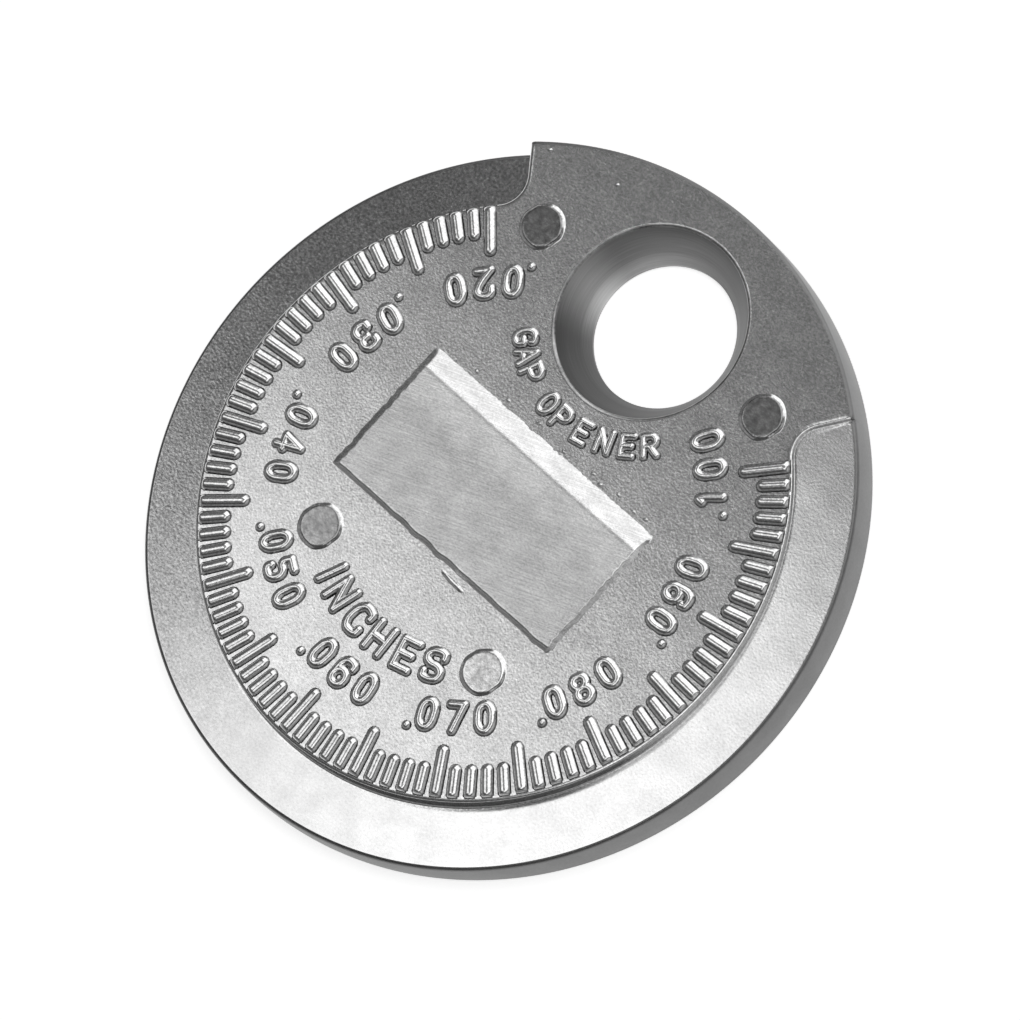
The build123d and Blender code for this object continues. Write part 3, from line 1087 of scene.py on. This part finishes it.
def tick_tree():
    """Geometry Nodes: one ridge for every tick, laid out round the scale."""
    shape = Shape("scale ticks", TICK_SIZES)
    size, calc = shape.size, shape.calc
    copies = tick_copies(shape)
    unit = shape.axes(shape.node("GeometryNodeInputPosition").outputs[0])
    number = shape.attribute("number")

    # how far each point of a ridge lies from its tip and from its middle line
    is_long = calc("LESS_THAN", calc("MODULO", number, size["Ticks per long tick"]), 0.5)
    longer = calc("SUBTRACT", size["Long radius"], size["Short radius"])
    tip = calc("MULTIPLY_ADD", is_long, longer, size["Short radius"])
    length = calc("SUBTRACT", size["Outer radius"], tip)
    share = calc("POWER", calc("ADD", unit["X"], 0.5), TIP_CROWDING)
    inward = calc("MULTIPLY", length, share)
    side = calc("MULTIPLY", unit["Y"], calc("MULTIPLY", size["Half width"], 2.0))

    # the ridge rises from both sides and from both of its round ends
    before = calc("MAXIMUM", calc("SUBTRACT", size["Half width"], inward), 0.0)
    end_from = calc("SUBTRACT", length, size["Outer end"])
    past = calc("MAXIMUM", calc("SUBTRACT", inward, end_from), 0.0)
    after = calc("MULTIPLY", calc("DIVIDE", past, size["Outer end"]), size["Half width"])
    lengthways = calc("POWER", calc("ADD", before, after), 2.0)
    away = calc("SQRT", calc("ADD", lengthways, calc("POWER", side, 2.0)))
    share_away = calc("DIVIDE", away, calc("MULTIPLY", size["Half width"], FOOT_SHARE))
    left = calc("MAXIMUM", calc("SUBTRACT", 1.0, calc("POWER", share_away, 2.0)), 0.0)
    rise = calc("MULTIPLY", calc("POWER", left, size["Fullness"]), size["Height"])
    above_sink = calc("ADD", calc("SUBTRACT", rise, FOOT_SINK), size["Sink"])
    is_top = calc("GREATER_THAN", unit["Z"], 0.0)
    lift = calc("SUBTRACT", calc("MULTIPLY", is_top, above_sink), size["Sink"])

    # every ridge goes to its own angle on the scale
    turn = calc("RADIANS", calc("MULTIPLY_ADD", number, size["Pitch"], size["First angle"]))
    spot = shape.vector(calc("ADD", tip, inward), side, calc("ADD", size["Face"], lift))
    bent_copies = shape.node("GeometryNodeSetPosition")
    shape.feed(bent_copies.inputs["Geometry"], copies)
    shape.feed(bent_copies.inputs["Position"], shape.turned(spot, turn))
    return shape.end(bent_copies.outputs["Geometry"], (RIDGE,))


ticks = settle(mesh_piece("ticks", [], []), tick_tree(), TICK_SHARP)
print("ticks", len(ticks.data.polygons), "faces")

# %% [markdown]
# ## Raised marks
# A character is drawn by its strokes alone, in shares of its width and height; a stroke that ends where
# it began is closed. The height of the metal over the face then depends only on how far a spot lies
# from the nearest stroke, which gives a rounded ridge, as a cut in a casting die fills.

# %% Strokes of the characters
BOX = [(0, 0), (1, 0), (1, 1), (0, 1), (0, 0)]
POST = [(0, 0), (0, 1)]
STROKES = {
    "0": [BOX],
    "1": [[(0.2, 0.78), (0.55, 1), (0.55, 0)]],
    "2": [[(0, 0.72), (0, 1), (1, 1), (1, 0.58), (0, 0)], [(0, 0), (1, 0)]],
    "3": [
        [(0, 0.76), (0, 1), (1, 1), (1, 0.53), (0.4, 0.53)],
        [(0.4, 0.53), (1, 0.53), (1, 0), (0, 0), (0, 0.24)],
    ],
    "4": [[(0.72, 0), (0.72, 1)], [(0.72, 1), (0, 0.3)], [(0, 0.3), (1, 0.3)]],
    "5": [[(0.95, 1), (0.08, 1)], [(0.08, 1), (0, 0.57), (1, 0.62), (1, 0), (0, 0), (0, 0.2)]],
    "6": [
        [(0, 0), (1, 0), (1, 0.57), (0, 0.57), (0, 0)],
        [(0, 0.25), (0, 1), (1, 1), (1, 0.8)],
    ],
    "7": [[(0, 1), (1, 1)], [(1, 1), (0.35, 0)]],
    "8": [
        [(0, 0), (1, 0), (1, 0.53), (0, 0.53), (0, 0)],
        [(0.04, 0.53), (0.96, 0.53), (0.96, 1), (0.04, 1), (0.04, 0.53)],
    ],
    "9": [
        [(0, 0.43), (1, 0.43), (1, 1), (0, 1), (0, 0.43)],
        [(1, 0.75), (1, 0), (0, 0), (0, 0.2)],
    ],
    ".": [[(0.5, 0), (0.5, 0.01)]],
    "A": [[(0, 0), (0.5, 1)], [(0.5, 1), (1, 0)], [(0.2, 0.32), (0.8, 0.32)]],
    "C": [[(1, 0.76), (1, 1), (0, 1), (0, 0), (1, 0), (1, 0.24)]],
    "E": [POST, [(0, 1), (0.95, 1)], [(0, 0.5), (0.8, 0.5)], [(0, 0), (0.95, 0)]],
    "G": [[(1, 0.76), (1, 1), (0, 1), (0, 0), (1, 0), (1, 0.42)], [(1, 0.42), (0.6, 0.42)]],
    "H": [POST, [(1, 0), (1, 1)], [(0, 0.5), (1, 0.5)]],
    "I": [[(0.5, 0), (0.5, 1)]],
    "N": [POST, [(0, 1), (1, 0)], [(1, 0), (1, 1)]],
    "O": [BOX],
    "P": [POST, [(0, 1), (1, 1), (1, 0.45), (0, 0.45)]],
    "R": [POST, [(0, 1), (1, 1), (1, 0.47), (0, 0.47)], [(0.5, 0.47), (1, 0)]],
    "S": [[(1, 0.76), (1, 1), (0, 1), (0, 0.53), (1, 0.47), (1, 0), (0, 0), (0, 0.24)]],
}
BEND_STEPS = 6
BEND_PULL = 0.75


def bent(points, radius, closed):
    """A line of straight runs with each bend between them rounded off, at most to half a run."""
    if closed:
        points = points[:-1]
    kept = [] if closed else [points[0]]
    corners = range(len(points)) if closed else range(1, len(points) - 1)
    for k in corners:
        corner = points[k]
        to, away = points[k - 1] - corner, points[(k + 1) % len(points)] - corner
        start = corner + to * min(radius / np.linalg.norm(to), 0.5)
        end = corner + away * min(radius / np.linalg.norm(away), 0.5)
        for step in range(BEND_STEPS + 1):
            t = step / BEND_STEPS
            weight = (1 - t) ** 2, 2 * t * (1 - t) * BEND_PULL, t**2
            kept.append((weight[0] * start + weight[1] * corner + weight[2] * end) / sum(weight))
    return kept + [kept[0] if closed else points[-1]]


def stroke_distance(x, y, strokes):
    """Distance of every spot of a grid from the nearest of some lines."""
    best = np.full(x.shape, 1e9)
    for line in strokes:
        for a, b in zip(line, line[1:]):
            run = b - a
            t = ((x - a[0]) * run[0] + (y - a[1]) * run[1]) / max(run @ run, 1e-9)
            t = np.clip(t, 0.0, 1.0)
            best = np.minimum(best, np.hypot(x - a[0] - t * run[0], y - a[1] - t * run[1]))
    return best


print("characters", "".join(STROKES))

# %% [markdown]
# Each raised mark is a closed patch of its own: a grid of small faces that follows a height, with
# walls and a floor just under the face. Its border dips below the face, so no seam can be seen, and
# the patch reaches into the coin by less than the thickness of a hair.

# %% Patches of relief
SINK = 0.012
PATCH_ROOT = 0.06
PATCH_SHARP = 60.0


class Relief:
    """Closed patches of raised metal, gathered into one piece."""

    def __init__(self):
        self.points, self.faces, self.finishes = [], [], []

    def patch(self, half, spacing, height, spot=(0.0, 0.0), turn=0.0, finish=SKIN, skin_from=math.inf):
        """Adds a patch; height(x, y) is in millimetres over the face.

        Faces further than skin_from from the middle keep the cast skin."""
        columns, rows = (int(2 * reach / spacing) + 2 for reach in half)
        grid_x = np.linspace(-half[0], half[0], columns)
        grid_y = np.linspace(-half[1], half[1], rows)
        x, y = np.meshgrid(grid_x, grid_y)
        border = np.ones(x.shape, bool)
        border[1:-1, 1:-1] = False
        z = FACE + np.where(border, -SINK, np.maximum(height(x, y), -SINK))
        cosine, sine = math.cos(math.radians(turn)), math.sin(math.radians(turn))
        world_x, world_y = spot[0] + cosine * x - sine * y, spot[1] + sine * x + cosine * y
        at = len(self.points) + np.arange(rows * columns).reshape(rows, columns)
        self.points += list(zip(world_x.ravel(), world_y.ravel(), z.ravel()))
        quads = np.stack([at[:-1, :-1], at[:-1, 1:], at[1:, 1:], at[1:, :-1]], axis=-1)
        self.faces += quads.reshape(-1, 4).tolist()
        away = np.hypot(x[:-1, :-1], y[:-1, :-1]).ravel()
        self.finishes += np.where(away > skin_from, SKIN, finish).tolist()
        self.root([*at[0, :-1], *at[:-1, -1], *at[-1, :0:-1], *at[:0:-1, 0]])
        self.finishes += [finish] * (len(self.faces) - len(self.finishes))

    def root(self, rim):
        """The walls and the floor of a patch, under the loop of its border."""
        low, count = len(self.points), len(rim)
        self.points += [(*self.points[p][:2], FACE - PATCH_ROOT) for p in rim]
        for k in range(count):
            n = (k + 1) % count
            self.faces.append([int(rim[n]), int(rim[k]), low + k, low + n])
        self.faces.append([low + count - 1 - k for k in range(count)])

    def piece(self, name):
        made = mesh_piece(name, self.points, self.faces)
        used = sorted(set(self.finishes))
        for finish in used:
            made.data.materials.append(FINISHES[finish])
        made.data.polygons.foreach_set("material_index", np.searchsorted(used, self.finishes))
        print(name, len(self.faces), "faces")
        return smooth(made, PATCH_SHARP)


# %% [markdown]
# The numbers say the gap in thousandths of an inch, one at every tenth tick, with a point before each.
# The words name the unit and what the hole is for. All of them stand on circles, with their tops
# towards the middle. The numbers keep an even spacing, but the letters don't, so each letter has its
# own angle, measured in the photo.

# %% Numerals and words
MARK_HEIGHT = 0.24
FULLNESS = 0.55
MARK_SPACING = 0.036
BEND_RADIUS = 0.75
LEAST_WIDTH = 0.1
DIGIT_SIZE, DIGIT_RADIUS = (0.76, 1.44, 0.58), 12.0
DIGIT_PITCH = 7.65
DIGIT_SHIFT = 1.65
DOT_SIZE, DOT_RADIUS = (0.0, 0.0, 0.56), 12.85
DOT_SHIFT = 10.3
FIRST_LABEL = 20
LABEL_STEP = 10
LABEL_PLACES = 3
UNIT, UNIT_TURNS = "INCHES", (244.7, 253.0, 263.7, 273.9, 285.0, 295.2)
UNIT_SIZE, UNIT_RADIUS = (0.96, 1.56, 0.58), 9.4
USE, USE_TURNS = "GAPOPENER", (225.7, 234.4, 243.2, 259.8, 269.5, 281.5, 292.7, 303.9, 314.0)
USE_SIZE, USE_RADIUS = (0.7, 1.12, 0.48), 6.9


def add_character(relief, name, size, angle, radius, middle_y=0.0):
    """One raised character on a circle, with its top towards the circle's middle."""
    width, tall, stroke = size
    lines = []
    for shares in STROKES[name]:
        placed = [np.array([(u - 0.5) * width, (v - 0.5) * tall]) for u, v in shares]
        closed = shares[0] == shares[-1]
        lines.append(bent(placed, BEND_RADIUS * max(width, LEAST_WIDTH), closed))
    half = stroke / 2
    reach = half + MARK_SPACING

    def height(x, y):
        away = stroke_distance(x, y, lines)
        rise = np.maximum(1 - (away / half) ** 2, 0.0) ** FULLNESS
        return (MARK_HEIGHT + SINK) * rise - SINK

    spot = radius * along(angle) + np.array([0.0, middle_y])
    sides = (width / 2 + reach, tall / 2 + reach)
    relief.patch(sides, MARK_SPACING, height, spot, angle - 270.0, RIDGE)


numbers = Relief()
for count in range(0, TICK_COUNT, LABEL_STEP):
    tick_angle = FIRST_ANGLE + count * TICK_PITCH
    add_character(numbers, ".", DOT_SIZE, tick_angle - DOT_SHIFT, DOT_RADIUS)
    for place, name in enumerate(str(FIRST_LABEL + count).zfill(LABEL_PLACES)):
        angle = tick_angle + DIGIT_SHIFT + (place - 1) * DIGIT_PITCH
        add_character(numbers, name, DIGIT_SIZE, angle, DIGIT_RADIUS)
numerals = numbers.piece("numerals")
letters = Relief()
for name, angle in zip(UNIT, UNIT_TURNS):
    add_character(letters, name, UNIT_SIZE, angle, UNIT_RADIUS)
for name, angle in zip(USE, USE_TURNS):
    add_character(letters, name, USE_SIZE, angle, USE_RADIUS, HOLE_MIDDLE)
words = letters.piece("words")

# %% [markdown]
# ## The panel
# The panel stands a little over the face, and has three steep sides. Its fourth side, towards the
# hole, is worn down to a broad slope. No edge of it is straight: each wanders by a few hundredths of
# a millimetre, which is drawn as a sum of waves of random direction and length, always from the same
# seed.

# %% The height of the panel
PANEL_HALF = (8.4, 4.175)
PANEL_MARGIN = 0.25
PANEL_SPACING = 0.09
PANEL_HEIGHT = 0.28
WANDER = 0.05
NEAR_WALL = 0.26
END_WALLS = (0.5, 0.14)
TORN_WALL = 0.14
WORN_LIP = 0.15
WORN_WIDTH = 1.45
WORN_SOFT = 0.55
WORN_RIPPLE = 0.018
WAVES = 5
WAVE_LENGTHS = (0.5, 1.6)
WAVE_SUM = 3
# mean length in millimetres and seed of each wave
SIDE_WAVE, TORN_WAVE, END_WAVE, WORN_WAVE = (1.4, 3), (0.55, 8), (0.9, 5), (1.1, 21)


def smoothstep(value, start, end):
    """0 before the start, 1 after the end, and a soft rise between them."""
    t = np.clip((value - start) / (end - start), 0.0, 1.0)
    return t * t * (3 - 2 * t)


def ripple(x, y, scale, seed):
    """A smooth irregular wave between about -1 and 1, for edges that no tool made straight."""
    draw = np.random.default_rng(seed)
    total = np.zeros(np.shape(x))
    for _ in range(WAVES):
        turn, phase = draw.uniform(0, 2 * math.pi, 2)
        length = scale * draw.uniform(*WAVE_LENGTHS)
        total += np.sin((x * math.cos(turn) + y * math.sin(turn)) * 2 * math.pi / length + phase)
    return total / WAVE_SUM


def smooth_above(value, soft):
    """The value where it lies above 0, with a soft bend there."""
    return (value + np.sqrt(value**2 + soft**2)) / 2 - soft / 2 * (1 - np.clip(value, 0.0, 1.0))


def panel_height(x, y):
    """The panel over the face: three steep sides, and one long side worn down to a broad slope."""
    ragged = WANDER * ripple(x, y * 0, *SIDE_WAVE)
    near = PANEL_HALF[1] + y + ragged
    far = PANEL_HALF[1] - y
    torn = far + ragged + WANDER * ripple(x, y, *TORN_WAVE)
    ends = PANEL_HALF[0] - np.abs(x) + WANDER * ripple(y, x * 0, *END_WAVE)
    end_wall = smoothstep(ends, 0.0, np.where(x < 0, *END_WALLS))
    steep = np.minimum(smoothstep(near, 0.0, NEAR_WALL), end_wall)
    steep = np.minimum(steep, smoothstep(torn, 0.0, TORN_WALL))
    worn = np.clip((far + WORN_LIP) / WORN_WIDTH, 0.0, 1.0)
    uneven = WORN_RIPPLE * ripple(x, y * 2, *WORN_WAVE) * np.clip(2 - 2 * worn, 0.0, 1.0)
    broad = 1 - smooth_above(1 - worn, WORN_SOFT) - uneven
    return (PANEL_HEIGHT + SINK) * steep * broad - SINK


marks = Relief()
panel_sides = [half + PANEL_MARGIN for half in PANEL_HALF]
marks.patch(panel_sides, PANEL_SPACING, panel_height, finish=PANEL)
print("panel faces", len(marks.faces))

# %% [markdown]
# Ejector pins push the casting out of its die, and each leaves a low round pad with a soft rim. Their
# tones differ from pin to pin, and the rim keeps the cast skin. Around the panel and on the lug lie a
# scar and some specks of metal, which are small smooth lumps here.

# %% Pin marks and small lumps
PIN_RADIUS = 1.35
PIN_HEIGHT = 0.13
PIN_WALL = 0.28
PIN_TOP = 1.12
PIN_SPACING = 0.06
PIN_MARGIN = 0.15
PIN_WANDER = 0.04
PIN_WAVE = (1.1, 11)
PINS = {(8.45, 12.55): PIN, (-8.45, 12.55): PIN, (6.35, -7.05): BRIGHT_PIN, (-6.35, -7.05): MID_PIN}
SCAR_SIZE, SCAR_SPOT, SCAR_TURN, SCAR_SPACING = (1.15, 0.2, 0.14), (1.55, -4.62), -4.0, 0.05
FLECK_SIZE, FLECK_TURN, FLECK_SPACING = (0.2, 0.11, 0.1), 25.0, 0.04
FLECK_X = (-5.6, -3.1, -0.9, 1.3, 3.4, 4.1, 5.3, 6.6, 7.4)
FLECK_Y = (4.5, 4.45, 4.6, 4.35, 4.5, 4.3, 4.55, 4.4, 4.5)
NICK_SIZE, NICK_TURN, NICK_SPACING = (0.2, 0.13, 0.06), 40.0, 0.03
NICK_SPOTS = ((-6.85, 16.79), (-11.17, 15.89))


def pin_height(x, y):
    """The mark of an ejector pin: a low round pad with a soft irregular rim."""
    rim = PIN_RADIUS + PIN_WANDER * ripple(x, y, *PIN_WAVE) - np.hypot(x, y)
    return (PIN_HEIGHT + SINK) * smoothstep(rim, 0.0, PIN_WALL) - SINK


def add_lump(size, spacing, spot, turn):
    """A small smooth lump, longer than it is wide; its size is (half length, half width, height)."""

    def height(x, y):
        away = np.hypot(x / size[0], y / size[1])
        return (size[2] + SINK) * (1 - smoothstep(away, 0.0, 1.0)) - SINK

    marks.patch(size[:2], spacing, height, spot, turn)


for spot, finish in PINS.items():
    pin_sides = [PIN_RADIUS + PIN_MARGIN] * 2
    marks.patch(pin_sides, PIN_SPACING, pin_height, spot, finish=finish, skin_from=PIN_TOP)
add_lump(SCAR_SIZE, SCAR_SPACING, SCAR_SPOT, SCAR_TURN)
for number, spot in enumerate(zip(FLECK_X, FLECK_Y)):
    add_lump(FLECK_SIZE, FLECK_SPACING, spot, FLECK_TURN * (number % 3 - 1))
for spot in NICK_SPOTS:
    add_lump(NICK_SIZE, NICK_SPACING, spot, NICK_TURN)
pads = marks.piece("pads")

# %% [markdown]
# ## Hand-over
# All pieces are one casting. So each rides on the part's only body and stands for the CAD model's one
# node.

# %% Hand the pieces to the frame
pieces = [coin, ticks, numerals, words, pads]
for piece in pieces:
    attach(piece, "root")
    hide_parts("gap_gauge")
print("pieces", [piece.name for piece in pieces])

# %% [markdown]
# ## The picture
# The camera was fitted to points of the photo: the ends of the ticks, the rim, the step and the hole.
# Its lens is long, because the photo shows hardly any perspective.

# %% Camera
CAMERA_SPOT = (0.202404, -0.007874, 0.429943)
CAMERA_LENS = 318.076
SENSOR_WIDTH = 36.0
back = Vector((0.4260066, -0.01709829, 0.90455847))
right = Vector((0.67669541, 0.66964592, -0.3060354))
camera = bpy.data.objects.new("camera", bpy.data.cameras.new("camera"))
bpy.context.scene.collection.objects.link(camera)
turned = Matrix((right, back.cross(right), back)).transposed().to_4x4()
camera.matrix_world = Matrix.Translation(CAMERA_SPOT) @ turned
camera.data.lens = CAMERA_LENS
camera.data.sensor_width = SENSOR_WIDTH
bpy.context.scene.camera = camera
bpy.context.scene.view_settings.view_transform = "Standard"
print("camera", [round(c, 3) for c in CAMERA_SPOT])

# %% [markdown]
# The part lies on white paper, a hair below its back. The paper glows for the camera and in
# reflections alone, so it shows as white as in the photo and still keeps the part's shadow. From
# below it can be looked through, and right under the part it is open, so that the back can be seen.

# %% Floor
FLOOR_GLOW = 0.72
FLOOR_HALF = 3000.0
FLOOR_LOW = -0.03
PAPER = {"Base Color": (0.8, 0.8, 0.8, 1), "Roughness": 1.0, "Specular IOR Level": 0.0}
WINDOW_SIZES = {
    "Radius": 19.95 * MM,
    "Hole middle": HOLE_MIDDLE * MM,
    "Hole radius": (HOLE_BACK + 0.05) * MM,
}


def window_group():
    """The opening in the paper under the part, through which its back is seen: 1 in the opening."""
    effect = Effect("window", WINDOW_SIZES, "Mask")
    size, axes = effect.size, effect.axes(effect.place)

    def away(middle):
        across = effect.calc("POWER", axes["X"], 2.0)
        up = effect.calc("POWER", effect.calc("SUBTRACT", axes["Y"], middle), 2.0)
        return effect.calc("SQRT", effect.calc("ADD", across, up))

    inside = effect.calc("LESS_THAN", away(0.0), size["Radius"])
    clear_of_hole = effect.calc("GREATER_THAN", away(size["Hole middle"]), size["Hole radius"])
    return effect.end(effect.calc("MULTIPLY", inside, clear_of_hole))


def floor_paint():
    """White paper: lit, and shown white behind the part and in its reflections."""
    material = bpy.data.materials.new("paper")
    material.use_nodes = True
    paint = Nodes(material.node_tree)
    shader = paint.tree.nodes["Principled BSDF"]
    for label, value in PAPER.items():
        shader.inputs[label].default_value = value
    rays = paint.node("ShaderNodeLightPath").outputs
    seen = rays["Is Camera Ray"]
    for label in ("Is Glossy Ray", "Is Transmission Ray"):
        seen = paint.calc("ADD", seen, rays[label])
    shader.inputs["Emission Color"].default_value = (1, 1, 1, 1)
    paint.feed(shader.inputs["Emission Strength"], paint.calc("MULTIPLY", seen, FLOOR_GLOW))
    window = paint.node("ShaderNodeGroup", node_tree=window_group()).outputs[0]
    below = paint.node("ShaderNodeNewGeometry").outputs["Backfacing"]
    mixed = paint.node("ShaderNodeMixShader")
    paint.feed(mixed.inputs["Fac"], paint.calc("MAXIMUM", below, window))
    paint.feed(mixed.inputs[1], shader.outputs[0])
    paint.feed(mixed.inputs[2], paint.node("ShaderNodeBsdfTransparent").outputs[0])
    paint.feed(paint.tree.nodes["Material Output"].inputs["Surface"], mixed.outputs[0])
    return material


signs = ((-1, -1), (1, -1), (1, 1), (-1, 1))
corners = [(x * FLOOR_HALF, y * FLOOR_HALF, FLOOR_LOW) for x, y in signs]
floor = mesh_piece("floor", corners, [(0, 1, 2, 3)])
floor.data.materials.append(floor_paint())
print("floor", floor.data.materials[0].name)

# %% [markdown]
# Metal shows what stands around it, so its tones are made by the room and not by its colour. The room
# is a sphere that only reflections can see. Each spot of the part looks in one direction, as a small
# mirror would, and what stands there gives the spot its tone. So the panels of the tent are given by
# their range of direction in X, Y and Z, with soft borders, and not by their place.

# %% Light tent
TENT_RADIUS = 500.0
TENT_ROWS, TENT_COLUMNS = 48, 64
TENT_BASE = 0.06
TENT_PANELS = {
    # brightness, x from and to, y from and to, z from and to, width of the soft border
    "dark ceiling": (0.13, -1.2, 0.5, -0.6, 1.2, -0.1, 1.2, 0.10),
    "back wall": (1.45, -0.64, 0.35, 0.27, 1.2, -0.1, 1.2, 0.08),
    "near panel": (1.3, -0.62, -0.18, -0.27, 0.006, -0.1, 1.2, 0.06),
    "top panel": (1.3, 0.0, 0.36, -0.36, 0.3, -0.1, 1.2, 0.10),
    "right wall": (0.5, 0.52, 1.2, -0.35, 1.2, -0.1, 0.75, 0.10),
    "low front": (0.26, -1.2, 1.2, -1.2, -0.3, -0.1, 0.52, 0.16),
    "front right wall": (0.35, 0.5, 1.2, -1.2, -0.4, -0.1, 0.45, 0.10),
    "below": (0.55, -0.9, 0.9, -0.9, 0.9, -1.3, -0.3, 0.50),
}


def tent_mesh():
    """A sphere of quads, closed by triangles at its two poles."""
    points, faces = [(0, 0, -TENT_RADIUS)], []
    for row in range(1, TENT_ROWS):
        lift = math.radians(180.0 * row / TENT_ROWS - 90.0)
        around, up = TENT_RADIUS * math.cos(lift), TENT_RADIUS * math.sin(lift)
        for column in range(TENT_COLUMNS):
            x, y = along(360.0 * column / TENT_COLUMNS)
            points.append((around * x, around * y, up))
    top = len(points)
    points.append((0, 0, TENT_RADIUS))
    last = (TENT_ROWS - 2) * TENT_COLUMNS
    for column in range(TENT_COLUMNS):
        near, far = 1 + column, 1 + (column + 1) % TENT_COLUMNS
        faces.append((0, near, far))
        for a in range(0, last, TENT_COLUMNS):
            b = a + TENT_COLUMNS
            faces.append((near + a, near + b, far + b, far + a))
        faces.append((near + last, top, far + last))
    return mesh_piece("light tent", points, faces)


def tent_paint():
    """A glow that depends on the direction alone: the brightest of the panels there."""
    material = bpy.data.materials.new("light tent")
    material.use_nodes = True
    paint = Nodes(material.node_tree)
    paint.tree.nodes.clear()
    unit = paint.node("ShaderNodeVectorMath", operation="NORMALIZE")
    paint.feed(unit.inputs[0], paint.node("ShaderNodeTexCoord").outputs["Object"])
    axes = paint.axes(unit.outputs["Vector"])
    total = TENT_BASE
    for mask, *sides, soft in TENT_PANELS.values():
        for axis, start, end in zip(axes, sides[::2], sides[1::2]):
            for at, half in ((start, soft / 2), (end, -soft / 2)):
                mask = paint.calc("MULTIPLY", mask, paint.rise(axis, at - half, at + half))
        total = paint.calc("MAXIMUM", total, mask)
    glow = paint.node("ShaderNodeEmission")
    paint.feed(glow.inputs["Strength"], total)
    output = paint.node("ShaderNodeOutputMaterial")
    paint.feed(output.inputs["Surface"], glow.outputs[0])
    return material


tent = tent_mesh()
tent.data.materials.append(tent_paint())
tent.visible_camera = False
tent.visible_diffuse = False
tent.visible_shadow = False
tent.visible_transmission = False
print("tent panels", ", ".join(TENT_PANELS))

# %% [markdown]
# The paper needs light of its own, because the tent only shows in reflections. A large lamp above the
# part gives it, with the soft shadow of the photo, and a grey world fills that shadow.

# %% Lamps
WORLD_GREY = 0.15
LAMP_SIZE = 0.5
LAMP_POWER = 1.6
LAMP_SPOT = Vector((0.1, 0.15, 0.7))
world = bpy.data.worlds.new("world")
bpy.context.scene.world = world
world.use_nodes = True
background = world.node_tree.nodes["Background"]
background.inputs[0].default_value = (WORLD_GREY, WORLD_GREY, WORLD_GREY, 1)
lamp = bpy.data.objects.new("soft lamp", bpy.data.lights.new("soft lamp", "AREA"))
lamp.data.size = LAMP_SIZE
lamp.data.energy = LAMP_POWER
lamp.location = LAMP_SPOT
lamp.rotation_euler = (-LAMP_SPOT).to_track_quat("-Z", "Y").to_euler()
lamp.visible_glossy = False
bpy.context.scene.collection.objects.link(lamp)
print("lamp", LAMP_POWER, "W")

# %% [markdown]
